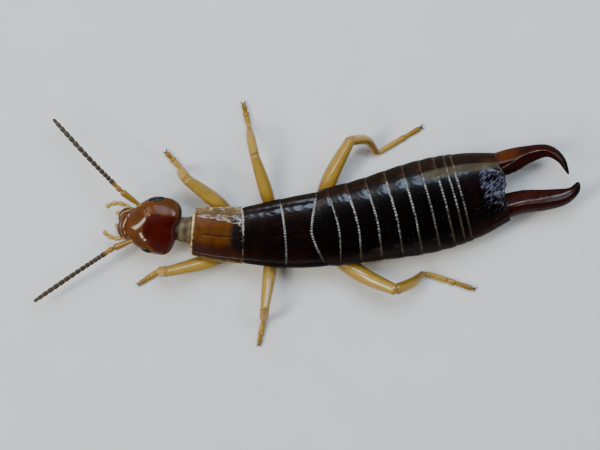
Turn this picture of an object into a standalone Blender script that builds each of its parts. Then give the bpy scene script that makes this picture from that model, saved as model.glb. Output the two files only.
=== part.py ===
"""A wingless male earwig at life size, standing still on its six feet.

The head points to -X, the tail forceps to +X, and +Y is the animal's right side.
The origin is on the ground under the middle of the animal.
"""

import math

import bmesh
import bpy
from mathutils import Matrix, Vector

MM = 0.001  # every size below is in millimetres
GAP = 0.04  # free space left between two neighbouring pieces
UP = Vector((0, 0, 1))

# The body is a row of rings on one curved axis. Each tuple of knots gives a size at an X on that axis.
AXIS_Y = ((-5.8, -0.20), (-2.8, -0.42), (0.8, -0.10), (5.0, 0.76), (9.8, 2.02))
HALF_WIDTH = (
    (-5.8, 1.20), (-4.5, 1.36), (-3.1, 1.47), (-1.0, 1.78), (0.8, 1.95),
    (3.0, 2.10), (5.9, 2.36), (8.0, 2.22), (9.7, 1.77),
)
TOP = ((-5.8, 2.00), (-3.1, 2.22), (0.8, 2.42), (5.5, 2.62), (8.0, 2.52), (9.7, 2.25))
SIDE = ((-5.8, 1.58), (0.8, 1.66), (5.5, 1.48), (9.7, 1.52))
BELLY = ((-5.8, 0.95), (-1.0, 0.68), (1.5, 0.78), (5.5, 0.46), (8.0, 0.52), (9.7, 0.80))

RING_SIDES = 20
BACK_ROUNDNESS = 2.2  # exponents of the superellipse over and under the widest line
BELLY_ROUNDNESS = 2.5
# share of the length, share of the size
RING_SHAPE = ((0.0, 0.955), (0.22, 0.985), (0.82, 1.0), (1.0, 0.985))

# Thorax
PLATE_ENDS = {"pronotum": (-5.72, -3.12), "mesonotum": (-3.08, -1.04), "metanotum": (-1.00, 0.27)}
PLATE_SHAPE = ((0.0, 0.95), (0.12, 0.985), (0.85, 1.0), (1.0, 0.985))
PLATE_UNDERSIDE = 1.50
METANOTUM_BOW = 0.50  # how far its rear corners reach back past its middle
TRUNK_ENDS = {"prothorax": (-5.40, -3.35), "mesothorax": (-3.20, -1.20), "metathorax": (-1.05, 1.12)}
TRUNK_HALF_WIDTH = {"prothorax": 0.74, "mesothorax": 0.98, "metathorax": 1.12}

# Abdomen: where each of the ten rings ends, on the axis
ABDOMEN_START = 0.31
RING_ENDS = (1.56, 2.53, 3.49, 4.46, 5.35, 6.14, 6.86, 7.40, 7.76, 9.72)

# Head, in its own frame: forward, to the animal's right, and up
HEAD_CENTRE = Vector((-7.60, 0.05, 1.52))
HEAD_TURN = math.radians(7)  # towards the animal's right
HEAD_WIDEST = -0.33
HEAD_FRONT, HEAD_REAR = 1.50, -1.27
HEAD_HALF_WIDTH = 1.46
HEAD_CROWN, HEAD_CHIN = 0.62, 0.56
HEAD_FRONT_TAPER = 0.30
HEAD_NOTCH_DEPTH, HEAD_NOTCH_HALF_WIDTH = 0.18, 0.34
EYE_PLACE, EYE_RADII = (0.26, 1.27, 0.05), (0.25, 0.16, 0.21)
LABRUM_PLACE, LABRUM_RADII = (1.42, 0.0, -0.10), (0.36, 0.50, 0.24)

SCAPE_SHAPE = ((0.0, 0.25), (0.85, 0.27), (1.0, 0.16))
FLAGELLUM_SHAPE = ((0.0, 0.25), (0.95, 0.25), (1.0, 0.12))  # no slender piece is thinner than 0.5

# Feelers: base, bend and tip
FEELERS = {
    "right": ((-8.30, 1.08, 1.62), (-9.20, 1.83, 1.85), (-10.90, 3.60, 1.75), (-12.58, 5.33, 1.20)),
    "left": ((-8.54, -0.65, 1.62), (-9.62, -1.04, 1.85), (-11.60, -2.38, 1.75), (-13.68, -3.89, 1.20)),
}
# Mouth feelers, in the head's frame
PALPS = {
    "maxillary": (
        0.25,
        ((1.15, 0.62, -0.25), (1.65, 0.86, -0.38), (2.15, 0.84, -0.46), (2.50, 0.62, -0.50)),
    ),
    "labial": (0.25, ((1.10, 0.26, -0.38), (1.50, 0.30, -0.68), (1.95, 0.34, -0.86))),
}
MANDIBLE_PATH = ((1.05, 0.36, -0.26), (1.48, 0.40, -0.36), (1.80, 0.13, -0.38))
MANDIBLE_SHAPE = ((0.0, 0.26), (0.5, 0.22), (0.85, 0.14), (1.0, 0.05))

NECK = ((-6.95, -0.06, 1.42), (-5.56, -0.19, 1.27))
NECK_SHAPE = ((0.0, 0.50), (0.5, 0.47), (1.0, 0.50))

# Legs: hip, knee, heel and toe tip of each, the greatest half-thickness of its femur,
# and how far the middle of the femur bows sideways
SOLE_HEIGHT = 0.20  # of a foot's centre line over the ground
LEGS = {
    "front_right": (
        (-3.80, 0.48, 0.66), (-6.00, 2.45, 1.75),
        (-6.28, 2.66, 0.26), (-7.04, 3.51, 0.20),
        0.38,
        0.0,
    ),
    "front_left": (
        (-3.72, -1.56, 0.66), (-7.00, -2.28, 1.75),
        (-7.38, -2.50, 0.26), (-8.49, -3.26, 0.20),
        0.37,
        -0.10,
    ),
    "middle_right": (
        (-1.74, 0.62, 0.60), (-2.60, 3.66, 1.66),
        (-2.87, 4.78, 0.26), (-3.15, 5.96, 0.20),
        0.35,
        0.0,
    ),
    "middle_left": (
        (-1.70, -1.35, 0.60), (-2.10, -4.25, 1.64),
        (-2.16, -5.08, 0.26), (-2.41, -6.40, 0.20),
        0.35,
        0.0,
    ),
    "hind_right": (
        (0.66, 1.06, 0.58), (2.20, 4.48, 1.95),
        (3.53, 3.45, 0.26), (5.83, 4.82, 0.20),
        0.40,
        -0.06,
    ),
    "hind_left": (
        (1.20, -1.50, 0.58), (4.52, -3.20, 1.90),
        (5.92, -2.62, 0.26), (8.58, -3.54, 0.20),
        0.43,
        0.25,
    ),
}
FEMUR_SAG = 0.16  # how far the middle of a femur hangs under the straight line from hip to knee
TIBIA_BULGE = 0.14  # how far the middle of a tibia stands out
COXA_SHAPE = ((0.0, 0.44), (0.6, 0.42), (0.9, 0.33), (1.0, 0.20))
FEMUR_SHAPE = (
    (0.0, 0.30), (0.04, 0.62), (0.20, 0.88), (0.45, 1.0),
    (0.75, 0.88), (0.92, 0.76), (0.98, 0.55), (1.0, 0.25),
)
TIBIA_SHAPE = ((0.0, 0.24), (0.3, 0.27), (0.7, 0.26), (0.94, 0.25), (1.0, 0.12))
FOOT_SHAPE = ((0.0, 0.25), (0.42, 0.26), (0.50, 0.22), (0.62, 0.25), (0.92, 0.25), (1.0, 0.14))

# Forceps: the centre line of each blade and its half-width along it
FORCEPS_FLATNESS = 0.80  # height as a share of width
BLADES = {
    "right": (
        (
            (9.20, 2.98, 1.50), (10.11, 3.30, 1.48), (11.00, 3.62, 1.46),
            (11.94, 3.80, 1.48), (12.62, 3.40, 1.54), (13.03, 2.64, 1.60),
        ),
        (
            (0.0, 0.64), (0.22, 0.60), (0.42, 0.42), (0.62, 0.30),
            (0.82, 0.20), (0.95, 0.10), (1.0, 0.04),
        ),
    ),
    "left": (
        (
            (9.75, 0.96, 1.50), (10.78, 1.22, 1.48), (11.90, 1.32, 1.46),
            (12.80, 1.49, 1.48), (13.32, 1.80, 1.54), (13.54, 2.26, 1.60),
        ),
        (
            (0.0, 0.64), (0.28, 0.57), (0.55, 0.46), (0.75, 0.30),
            (0.90, 0.20), (0.97, 0.11), (1.0, 0.04),
        ),
    ),
}
PYGIDIUM_PLACE, PYGIDIUM_RADII = (9.72, 2.02, 1.42), (0.34, 0.24, 0.30)

DARK_SHELL = ((0.020, 0.006, 0.004), 0.22)
BROWN_SHELL = ((0.110, 0.022, 0.006), 0.25)
AMBER_SHELL = ((0.330, 0.120, 0.018), 0.28)
RED_SHELL = ((0.240, 0.040, 0.010), 0.20)
FORCEPS_SHELL = ((0.085, 0.012, 0.006), 0.22)
LEG_SHELL = ((0.560, 0.340, 0.080), 0.30)
FEELER_SHELL = ((0.130, 0.065, 0.022), 0.45)
SOFT_SKIN = ((0.360, 0.230, 0.100), 0.50)
EYE_SHELL = ((0.012, 0.008, 0.010), 0.15)


def clear_scene():
    for obj in list(bpy.data.objects):
        bpy.data.objects.remove(obj, do_unlink=True)


def new_collection(name):
    collection = bpy.data.collections.new(name)
    bpy.context.scene.collection.children.link(collection)
    return collection


def material_of(name, finish):
    """A plain shell or skin finish: colour and roughness."""
    colour, roughness = finish
    material = bpy.data.materials.get(name) or bpy.data.materials.new(name)
    material.use_nodes = True
    shader = material.node_tree.nodes["Principled BSDF"]
    shader.inputs["Base Color"].default_value = (*colour, 1.0)
    shader.inputs["Roughness"].default_value = roughness
    shader.inputs["Metallic"].default_value = 0.0
    return material


def through(knots, at):
    """The value, a number or a vector, at one place of a smooth curve through (place, value) knots."""
    places = [place for place, _ in knots]
    values = [value for _, value in knots]
    at = min(max(at, places[0]), places[-1])
    k = max(i for i in range(len(knots) - 1) if places[i] <= at)

    def slope(i):
        before, after = max(i - 1, 0), min(i + 1, len(knots) - 1)
        return (values[after] - values[before]) / (places[after] - places[before])

    span = places[k + 1] - places[k]
    t = (at - places[k]) / span
    start = values[k] * (2 * t**3 - 3 * t**2 + 1) + slope(k) * span * (t**3 - 2 * t**2 + t)
    return start + values[k + 1] * (3 * t**2 - 2 * t**3) + slope(k + 1) * span * (t**3 - t**2)


def solid_from_bmesh(name, bm, finish, place):
    """An object with its origin at a place of its own, such as its joint, held by the model's empty."""
    origin = Vector(place) * MM
    bmesh.ops.recalc_face_normals(bm, faces=bm.faces)
    bmesh.ops.translate(bm, verts=bm.verts, vec=-origin)
    mesh = bpy.data.meshes.new(name)
    bm.to_mesh(mesh)
    bm.free()
    mesh.shade_smooth()
    mesh.set_sharp_from_angle(angle=math.radians(50))
    mesh.materials.clear()
    mesh.materials.append(finish)
    obj = bpy.data.objects.new(name, mesh)
    obj.location = origin
    obj.parent = bpy.data.objects["earwig_middle"]
    bpy.data.collections["earwig"].objects.link(obj)
    return obj


def tube(name, path, shape, finish, sides=8):
    """A round limb along a smooth path, as thick at each share of its length as its shape says."""
    places = [i / (len(path) - 1) for i in range(len(path))]
    route = list(zip(places, [Vector(point) for point in path], strict=True))
    stops = sorted({place for place, _ in shape} | {place for place in places if len(path) > 2})
    curve = bpy.data.curves.new(name, "CURVE")
    curve.dimensions = "3D"
    curve.bevel_depth = MM
    curve.bevel_resolution = sides // 2 - 2
    curve.use_fill_caps = True
    spline = curve.splines.new("POLY")
    spline.points.add(len(stops) - 1)
    for point, stop in zip(spline.points, stops, strict=True):
        point.co = (*(through(route, stop) * MM), 1.0)
        point.radius = through(shape, stop)
    carrier = bpy.data.objects.new(name + "_line", curve)
    bpy.context.scene.collection.objects.link(carrier)
    graph = bpy.context.evaluated_depsgraph_get()
    swept = bpy.data.meshes.new_from_object(carrier.evaluated_get(graph))
    bpy.data.objects.remove(carrier)
    bm = bmesh.new()
    bm.from_mesh(swept)
    bmesh.ops.remove_doubles(bm, verts=bm.verts, dist=0.001 * MM)
    bpy.data.meshes.remove(swept)
    return solid_from_bmesh(name, bm, finish, path[0])


def ball(name, centre, radii, finish, turn=0.0, segments=14, rings=10):
    """An ellipsoid, turned about the vertical."""
    bm = bmesh.new()
    bmesh.ops.create_uvsphere(bm, u_segments=segments, v_segments=rings, radius=1.0)
    size = Matrix.Diagonal((*(radius * MM for radius in radii), 1.0))
    place = Matrix.Translation(Vector(centre) * MM) @ Matrix.Rotation(turn, 4, "Z") @ size
    bmesh.ops.transform(bm, matrix=place, verts=bm.verts)
    return solid_from_bmesh(name, bm, finish, centre)


def cut_by(piece, neighbour, gap=GAP):
    """Takes the neighbour's shape, grown by the gap, out of the piece, so that they do not touch."""
    name = "cutter_" + neighbour.name
    cutter = bpy.data.objects.get(name)
    if cutter is None:
        mesh = neighbour.data.copy()
        normals = [vertex.normal.copy() for vertex in mesh.vertices]
        for vertex, normal in zip(mesh.vertices, normals, strict=True):
            vertex.co += normal * gap * MM
        cutter = bpy.data.objects.new(name, mesh)
        cutter.location = neighbour.location
        cutter.parent = neighbour.parent
        bpy.data.collections["cutters"].objects.link(cutter)
        cutter.hide_render = True
        cutter.display_type = "WIRE"
    boolean = piece.modifiers.new("clear of " + neighbour.name, "BOOLEAN")
    boolean.operation = "DIFFERENCE"
    boolean.object = cutter


def cut_at_ground(obj):
    """Slices a foot off level with the ground, which leaves the small flat that it stands on."""
    bm = bmesh.new()
    bm.from_mesh(obj.data)
    geometry = bm.verts[:] + bm.edges[:] + bm.faces[:]
    ground = (0, 0, -obj.location.z)
    cut = bmesh.ops.bisect_plane(bm, geom=geometry, plane_co=ground, plane_no=UP, clear_inner=True)
    rim = [item for item in cut["geom_cut"] if isinstance(item, bmesh.types.BMEdge)]
    bmesh.ops.contextual_create(bm, geom=rim)
    bmesh.ops.recalc_face_normals(bm, faces=bm.faces)
    bm.to_mesh(obj.data)
    bm.free()


def axis_frame(x):
    """The axis's point at X, its direction to the tail, and the direction to the animal's right."""
    step = 0.05
    rise = (through(AXIS_Y, x + step) - through(AXIS_Y, x - step)) / (2 * step)
    ahead = Vector((1, rise, 0)).normalized()
    return Vector((x, through(AXIS_Y, x), 0)), ahead, Vector((-ahead.y, ahead.x, 0))


def half_oval(share, roundness):
    """Height of a superellipse of half-width and height 1 at a share of its half-width."""
    return max(0.0, 1 - abs(share) ** roundness) ** (1 / roundness)


def ring_section(x):
    """(to the right, up) points round a whole body ring, over the back and then under the belly."""
    wide, top, side, belly = (through(knots, x) for knots in (HALF_WIDTH, TOP, SIDE, BELLY))
    points = []
    for k in range(RING_SIDES):
        angle = 2 * math.pi * k / RING_SIDES
        share = math.cos(angle)
        if math.sin(angle) >= 0:
            points.append((wide * share, side + (top - side) * half_oval(share, BACK_ROUNDNESS)))
        else:
            points.append((wide * share, side - (side - belly) * half_oval(share, BELLY_ROUNDNESS)))
    return points


def plate_section(x):
    """(to the right, up) points round a back plate: domed over, flat under."""
    wide, top, side = (through(knots, x) for knots in (HALF_WIDTH, TOP, SIDE))
    half = RING_SIDES // 2
    points = []
    for k in range(half + 1):
        share = math.cos(math.pi * k / half)
        points.append((wide * share, side + (top - side) * half_oval(share, BACK_ROUNDNESS)))
    return points + [(wide * share, PLATE_UNDERSIDE) for share in (-0.97, -0.5, 0.0, 0.5, 0.97)]


def trunk_section(name):
    """(to the right, up) points round the underbody of one thorax ring, for every X along it."""
    wide = TRUNK_HALF_WIDTH[name]

    def section(x):
        roof = PLATE_UNDERSIDE - GAP
        belly = through(BELLY, x)
        middle, half_height = (roof + belly) / 2, (roof - belly) / 2
        points = []
        for k in range(RING_SIDES - 4):
            angle = 2 * math.pi * k / (RING_SIDES - 4)
            up = math.copysign(half_oval(math.cos(angle), 3.0), math.sin(angle))
            points.append((wide * math.cos(angle), middle + half_height * up))
        return points

    return section


def loft(name, start, end, section, shape, finish, front_bow=0.0, rear_bow=0.0):
    """A body piece swept along the axis. A bow carries the piece's corners back past its middle."""
    bm = bmesh.new()
    rings = []

    def place(share, size, shrink=1.0):
        x = start + (end - start) * share
        points = section(x)
        centre = sum(up for _, up in points) / len(points)
        origin, ahead, right = axis_frame(x)
        bow = front_bow + (rear_bow - front_bow) * share
        half = through(HALF_WIDTH, x)
        made = []
        for across, up in points:
            across *= size * shrink
            height = centre + (up - centre) * size * shrink
            spot = origin + right * across + ahead * bow * (across / half) ** 2 + UP * height
            made.append(bm.verts.new(spot * MM))
        return made

    for share, size in shape:
        rings.append(place(share, size))
    for near, far in zip(rings, rings[1:], strict=False):
        for k in range(len(near)):
            bm.faces.new((near[k - 1], near[k], far[k], far[k - 1]))
    for ring, (share, size), bow in ((rings[0], shape[0], front_bow), (rings[-1], shape[-1], rear_bow)):
        if not bow:
            bm.faces.new(ring)
            continue
        inner = place(share, size, 0.5)
        for k in range(len(ring)):
            bm.faces.new((ring[k - 1], ring[k], inner[k], inner[k - 1]))
        middle = place(share, size, 0.0)
        bmesh.ops.remove_doubles(bm, verts=middle, dist=0.001 * MM)
        hub = next(vertex for vertex in middle if vertex.is_valid)
        for k in range(len(ring)):
            bm.faces.new((inner[k - 1], inner[k], hub))
    return solid_from_bmesh(name, bm, finish, axis_frame(start)[0])


def from_head(point):
    """A point of the head's frame, as a place on the model."""
    forward, right, up = point
    ahead = Vector((-math.cos(HEAD_TURN), math.sin(HEAD_TURN), 0))
    beside = Vector((math.sin(HEAD_TURN), math.cos(HEAD_TURN), 0))
    return HEAD_CENTRE + ahead * forward + beside * right + UP * up


def head_capsule(finish):
    """A flat, heart-shaped ball: a narrow front, a blunt rear and a notch where the neck enters."""
    bm = bmesh.new()
    lengthwise = Matrix.Rotation(math.pi / 2, 4, "Y")
    bmesh.ops.create_uvsphere(bm, u_segments=22, v_segments=14, radius=1.0, matrix=lengthwise)
    for vertex in bm.verts:
        along, across, up = vertex.co
        if along > 0:
            forward = HEAD_WIDEST + along * (HEAD_FRONT - HEAD_WIDEST)
            breadth = 1 - HEAD_FRONT_TAPER * along**2
        else:
            forward = HEAD_WIDEST - along * (HEAD_REAR - HEAD_WIDEST)
            breadth = half_oval(along, 3.0) / max(math.sqrt(1 - min(along**2, 0.9999)), 0.01)
        right = across * breadth * HEAD_HALF_WIDTH
        height = up * breadth * (HEAD_CROWN if up > 0 else HEAD_CHIN)
        if along < 0:
            forward += HEAD_NOTCH_DEPTH * math.exp(-((right / HEAD_NOTCH_HALF_WIDTH) ** 2)) * along**2
        vertex.co = from_head((forward, right, height)) * MM
    return solid_from_bmesh("head", bm, finish, HEAD_CENTRE)


def mirrored(path, side):
    """A path of the head's right side, or its mirror image on the left."""
    sign = 1 if side == "right" else -1
    return [from_head((forward, sign * right, up)) for forward, right, up in path]


def make_head(finishes):
    head = head_capsule(finishes["head"])
    turn = math.pi - HEAD_TURN
    labrum = ball("labrum", from_head(LABRUM_PLACE), LABRUM_RADII, finishes["amber"], turn, 12, 8)
    cut_by(labrum, head)
    for side in ("right", "left"):
        sign = 1 if side == "right" else -1
        forward, right, up = EYE_PLACE
        eye_centre = from_head((forward, sign * right, up))
        eye = ball("eye_" + side, eye_centre, EYE_RADII, finishes["eye"], turn, 12, 8)
        cut_by(eye, head)

        base, bend, middle, tip = FEELERS[side]
        antenna = "antenna_" + side
        scape = tube(antenna + "_scape", (base, bend), SCAPE_SHAPE, finishes["leg"])
        cut_by(scape, head)
        path = (bend, middle, tip)
        flagellum = tube(antenna + "_flagellum", path, FLAGELLUM_SHAPE, finishes["feeler"])
        cut_by(flagellum, scape)

        path = mirrored(MANDIBLE_PATH, side)
        mandible = tube("mandible_" + side, path, MANDIBLE_SHAPE, finishes["brown"])
        cut_by(mandible, head)
        cut_by(mandible, labrum)
        for kind, (radius, path) in PALPS.items():
            shape = ((0.0, radius), (0.9, radius), (1.0, radius / 2))
            palp = tube(f"palp_{kind}_{side}", mirrored(path, side), shape, finishes["leg"])
            cut_by(palp, head)
            cut_by(palp, labrum)
            cut_by(palp, mandible)
    return head


def make_thorax(finishes, head):
    trunks = {}
    for name, (start, end) in TRUNK_ENDS.items():
        trunks[name] = loft(name, start, end, trunk_section(name), RING_SHAPE, finishes["brown"])
    for name, (start, end) in PLATE_ENDS.items():
        finish = finishes["amber"] if name == "pronotum" else finishes["dark"]
        bow = METANOTUM_BOW if name == "metanotum" else 0.0
        loft(name, start, end, plate_section, PLATE_SHAPE, finish, 0.0, bow)
    neck = tube("neck", NECK, NECK_SHAPE, finishes["skin"], 12)
    cut_by(neck, head)
    cut_by(neck, bpy.data.objects["pronotum"])
    return trunks


def make_abdomen(finishes, metathorax):
    start = ABDOMEN_START
    rings = []
    for number, end in enumerate(RING_ENDS, 1):
        front_bow = METANOTUM_BOW if number == 1 else 0.0
        name = f"abdomen_{number:02d}"
        rings.append(loft(name, start, end, ring_section, RING_SHAPE, finishes["dark"], front_bow))
        start = end + GAP
    cut_by(rings[0], metathorax)
    last = rings[-1]
    turn = math.atan2(*reversed(axis_frame(RING_ENDS[-1])[1].xy))
    pygidium = ball("pygidium", PYGIDIUM_PLACE, PYGIDIUM_RADII, finishes["brown"], turn, 10, 8)
    cut_by(pygidium, last)
    for side, (path, shape) in BLADES.items():
        blade = tube("forceps_" + side, path, shape, finishes["forceps"], 10)
        for vertex in blade.data.vertices:
            vertex.co.z *= FORCEPS_FLATNESS
        cut_by(blade, last)
    return rings


def make_leg(name, hip, knee, heel, toe, thickness, bow, trunk, finish):
    """One leg: hip piece, femur, tibia and foot, each cut clear of the one that carries it."""
    hip, knee, heel, toe = (Vector(point) for point in (hip, knee, heel, toe))
    axis_y = through(AXIS_Y, hip.x)
    root = Vector((hip.x - 0.1, axis_y + (hip.y - axis_y) * 0.5, hip.z + 0.32))
    coxa = tube(f"leg_{name}_coxa", (root, hip), COXA_SHAPE, finish)
    cut_by(coxa, trunk)

    beside = (knee - hip).cross(UP).normalized()
    femur_middle = (hip + knee) / 2 - UP * FEMUR_SAG + beside * bow
    femur_shape = [(place, size * thickness) for place, size in FEMUR_SHAPE]
    femur = tube(f"leg_{name}_femur", (hip, femur_middle, knee), femur_shape, finish, 10)
    cut_by(femur, coxa)
    cut_by(femur, trunk)

    out = (knee - hip).cross(UP).cross(heel - knee).normalized()
    out *= math.copysign(1.0, out.dot(knee - hip))
    tibia_middle = (knee + heel) / 2 + out * TIBIA_BULGE
    tibia = tube(f"leg_{name}_tibia", (knee, tibia_middle, heel), TIBIA_SHAPE, finish)
    cut_by(tibia, femur)

    sole = Vector((heel.x, heel.y, SOLE_HEIGHT))
    foot = tube(f"leg_{name}_foot", (sole, toe), FOOT_SHAPE, finish)
    cut_at_ground(foot)
    cut_by(foot, tibia)
    return coxa, femur


def main():
    clear_scene()
    new_collection("earwig")
    new_collection("cutters")
    bpy.data.collections["earwig"].objects.link(bpy.data.objects.new("earwig_middle", None))
    finishes = {
        "head": material_of("red_shell", RED_SHELL),
        "amber": material_of("amber_shell", AMBER_SHELL),
        "brown": material_of("brown_shell", BROWN_SHELL),
        "dark": material_of("dark_shell", DARK_SHELL),
        "forceps": material_of("forceps_shell", FORCEPS_SHELL),
        "leg": material_of("leg_shell", LEG_SHELL),
        "feeler": material_of("feeler_shell", FEELER_SHELL),
        "skin": material_of("soft_skin", SOFT_SKIN),
        "eye": material_of("eye_shell", EYE_SHELL),
    }
    head = make_head(finishes)
    trunks = make_thorax(finishes, head)
    rings = make_abdomen(finishes, trunks["metathorax"])
    carriers = {"front": trunks["prothorax"], "middle": trunks["mesothorax"], "hind": trunks["metathorax"]}
    for name, (hip, knee, heel, toe, thickness, bow) in LEGS.items():
        pair = name.split("_")[0]
        coxa, femur = make_leg(name, hip, knee, heel, toe, thickness, bow, carriers[pair], finishes["leg"])
        if pair == "hind":
            cut_by(rings[0], coxa)
            for ring in rings[:2]:
                cut_by(ring, femur)


main()
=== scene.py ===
import math

import bpy
import numpy as np
from mathutils import Matrix, Vector


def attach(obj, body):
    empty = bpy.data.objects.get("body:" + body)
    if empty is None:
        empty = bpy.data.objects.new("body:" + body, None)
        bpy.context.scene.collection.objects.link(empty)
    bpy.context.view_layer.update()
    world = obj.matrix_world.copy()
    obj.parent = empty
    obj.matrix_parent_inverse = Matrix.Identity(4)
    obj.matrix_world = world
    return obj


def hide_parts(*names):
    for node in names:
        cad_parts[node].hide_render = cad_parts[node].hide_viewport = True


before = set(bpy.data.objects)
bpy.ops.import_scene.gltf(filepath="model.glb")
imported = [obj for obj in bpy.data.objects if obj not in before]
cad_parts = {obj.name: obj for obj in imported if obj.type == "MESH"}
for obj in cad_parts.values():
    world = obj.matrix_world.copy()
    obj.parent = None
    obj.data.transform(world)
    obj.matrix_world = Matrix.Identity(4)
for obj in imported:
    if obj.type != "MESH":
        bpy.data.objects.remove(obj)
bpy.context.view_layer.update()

mm = 0.001  # lengths below are millimetres unless a line says otherwise
up = np.array((0.0, 0.0, 1.0))

# Curves and fields

# a cubic through (place, value) knots whose slope at a knot is that between its two neighbours
def smoothCurve(knots, at):
    places = np.array([knot[0] for knot in knots], float)
    values = np.array([np.atleast_1d(knot[1]) for knot in knots], float)
    number = np.arange(len(places))
    before = np.maximum(number - 1, 0)
    after = np.minimum(number + 1, len(places) - 1)
    slopes = (values[after] - values[before]) / (places[after] - places[before])[:, None]
    at = np.clip(np.asarray(at, float), places[0], places[-1])
    k = np.clip(np.searchsorted(places, at, side="right") - 1, 0, len(places) - 2)
    span = places[k + 1] - places[k]
    t = ((at - places[k]) / span)[..., None]
    span = span[..., None]
    start = values[k] * (2 * t**3 - 3 * t**2 + 1) + slopes[k] * span * (t**3 - 2 * t**2 + t)
    end = values[k + 1] * (3 * t**2 - 2 * t**3) + slopes[k + 1] * span * (t**3 - t**2)
    result = start + end
    return result[..., 0] if result.shape[-1] == 1 else result


# 0 below low, 1 above high, and a smooth step between them
def smoothStep(low, high, value):
    t = np.clip((value - low) / (high - low), 0, 1)
    return t * t * (3 - 2 * t)


# 1 at the centre, falling off to 0 over the width as a bell does
def bell(value, centre, width):
    return np.exp(-(((value - centre) / width) ** 2))


# a mask raised so that it never falls under the least
def atLeast(least, mask):
    return least + (1 - least) * mask


# a number's size raised to a power with its sign kept: 2 / n makes sine and cosine a superellipse of power n
def signedPower(value, power):
    return np.sign(value) * np.abs(value) ** power


# a smooth field between about -1 and 1: sine waves of one length in many fixed directions;
# a rate below 1 makes them longer along X
def ripple(points, waveLength, seed, rate=1.0):
    waves = 14
    points = points * np.array((rate, 1.0, 1.0))
    chance = np.random.default_rng(seed)
    directions = chance.normal(size=(waves, 3))
    directions /= np.linalg.norm(directions, axis=1)[:, None]
    phases = chance.uniform(0, 2 * np.pi, waves)
    turns = points @ directions.T * (2 * np.pi / waveLength) + phases
    return np.sin(turns).sum(-1) / math.sqrt(waves)


def unit(vectors):
    shortest = 1e-9  # keeps a vector of no length from dividing by zero
    return vectors / np.maximum(np.linalg.norm(vectors, axis=-1, keepdims=True), shortest)


# the angles of points that go once round
def turnsRound(around):
    return np.linspace(0, 2 * np.pi, around, endpoint=False)[None, :]


# points lifted straight up
def raised(rows, lift):
    return rows + up * lift[..., None]


# Meshes

# a closed form from rows of points that each go once round it, with a fan over each end row
# each mark is a number for every point, kept as an attribute that the finishes read
def addPiece(name, rows, finish, nodes=(), marks=None):
    count, around = rows.shape[:2]
    points = np.concatenate([rows.reshape(-1, 3), rows[0].mean(0)[None], rows[-1].mean(0)[None]])
    i, j = np.meshgrid(np.arange(count - 1), np.arange(around), indexing="ij")
    k = (j + 1) % around
    quads = np.stack([i * around + j, i * around + k, (i + 1) * around + k, (i + 1) * around + j], -1)
    quads = quads.reshape(-1, 4)
    quadU = (np.stack([i, i, i + 1, i + 1], -1) / (count - 1)).reshape(-1, 4)
    quadV = (np.stack([j, j + 1, j + 1, j], -1) / around).reshape(-1, 4)
    j = np.arange(around)
    k = (j + 1) % around
    lastRow = (count - 1) * around
    fans = np.concatenate([
        np.stack([k, j, np.full(around, count * around)], -1),
        np.stack([lastRow + j, lastRow + k, np.full(around, count * around + 1)], -1),
    ])
    fanU = np.concatenate([np.zeros((around, 3)), np.ones((around, 3))])
    fanV = np.concatenate([np.stack([j + 1, j, j + 0.5], -1), np.stack([j, j + 1, j + 0.5], -1)]) / around
    triangles = np.concatenate([quads[:, [0, 1, 2]], quads[:, [0, 2, 3]], fans])
    a, b, c = (points[triangles[:, n]] for n in range(3))
    if (a * np.cross(b, c)).sum() < 0:  # the signed volume, which is negative when faces point inwards
        quads, quadU, quadV = quads[:, ::-1], quadU[:, ::-1], quadV[:, ::-1]
        fans, fanU, fanV = fans[:, ::-1], fanU[:, ::-1], fanV[:, ::-1]
    mesh = bpy.data.meshes.new(name)
    mesh.from_pydata((points * mm).tolist(), [], quads.tolist() + fans.tolist())
    layer = mesh.uv_layers.new(name="surface")
    flatU = np.concatenate([quadU.ravel(), fanU.ravel()])
    flatV = np.concatenate([quadV.ravel(), fanV.ravel()])
    layer.data.foreach_set("uv", np.stack([flatU, flatV], -1).astype(np.float32).ravel())
    for markName, values in (marks or {}).items():
        values = np.broadcast_to(values, (count, around))
        values = np.concatenate([values.ravel(), [values[0].mean(), values[-1].mean()]])
        attribute = mesh.attributes.new(markName, "FLOAT", "POINT")
        attribute.data.foreach_set("value", values.astype(np.float32))
    mesh.shade_smooth()
    mesh.materials.append(finish)
    piece = bpy.data.objects.new(name, mesh)
    bpy.context.scene.collection.objects.link(piece)
    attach(piece, "root")
    if nodes:
        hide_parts(*nodes)
    return piece


# shares of a length that crowd into each rounded end, and how far the end has opened there:
# a quarter circle at each end, and even steps between them
def roundedStations(count, startRound, endRound):
    steps = 8
    firstTurn = 0.12
    bend = np.linspace(firstTurn, np.pi / 2, steps)
    middle = np.linspace(startRound, 1 - endRound, count)[1:-1]
    endShares = 1 - endRound * (1 - np.cos(bend[::-1]))
    shares = np.concatenate([startRound * (1 - np.cos(bend)), middle, endShares])
    opening = np.concatenate([np.sin(bend), np.ones(count - 2), np.sin(bend[::-1])])
    return shares, opening


# points at some shares along a smooth path through a few points
def pathAt(points, shares):
    places = np.linspace(0, 1, len(points))
    return smoothCurve(list(zip(places, points)), shares)


# rows round a path: each point of it is the middle of an oval that stands square to the path,
# with one axis along beside and the other square to both
# a lift of 0.1 raises a ridge of a tenth of the size there
def sweep(path, halfWidths, halfHeights, beside, around, lift=0.0):
    ahead = unit(np.gradient(path, axis=0))
    beside = np.broadcast_to(beside, path.shape)
    across = unit(beside - (beside * ahead).sum(-1, keepdims=True) * ahead)
    over = np.cross(across, ahead)
    over = np.where((over @ up).sum() < 0, -over, over)
    angle = turnsRound(around)
    size = 1 + lift
    sideways = halfWidths[:, None] * np.cos(angle) * size
    upwards = halfHeights[:, None] * np.sin(angle) * size
    return path[:, None] + across[:, None] * sideways[..., None] + over[:, None] * upwards[..., None]


# Shader building blocks

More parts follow.
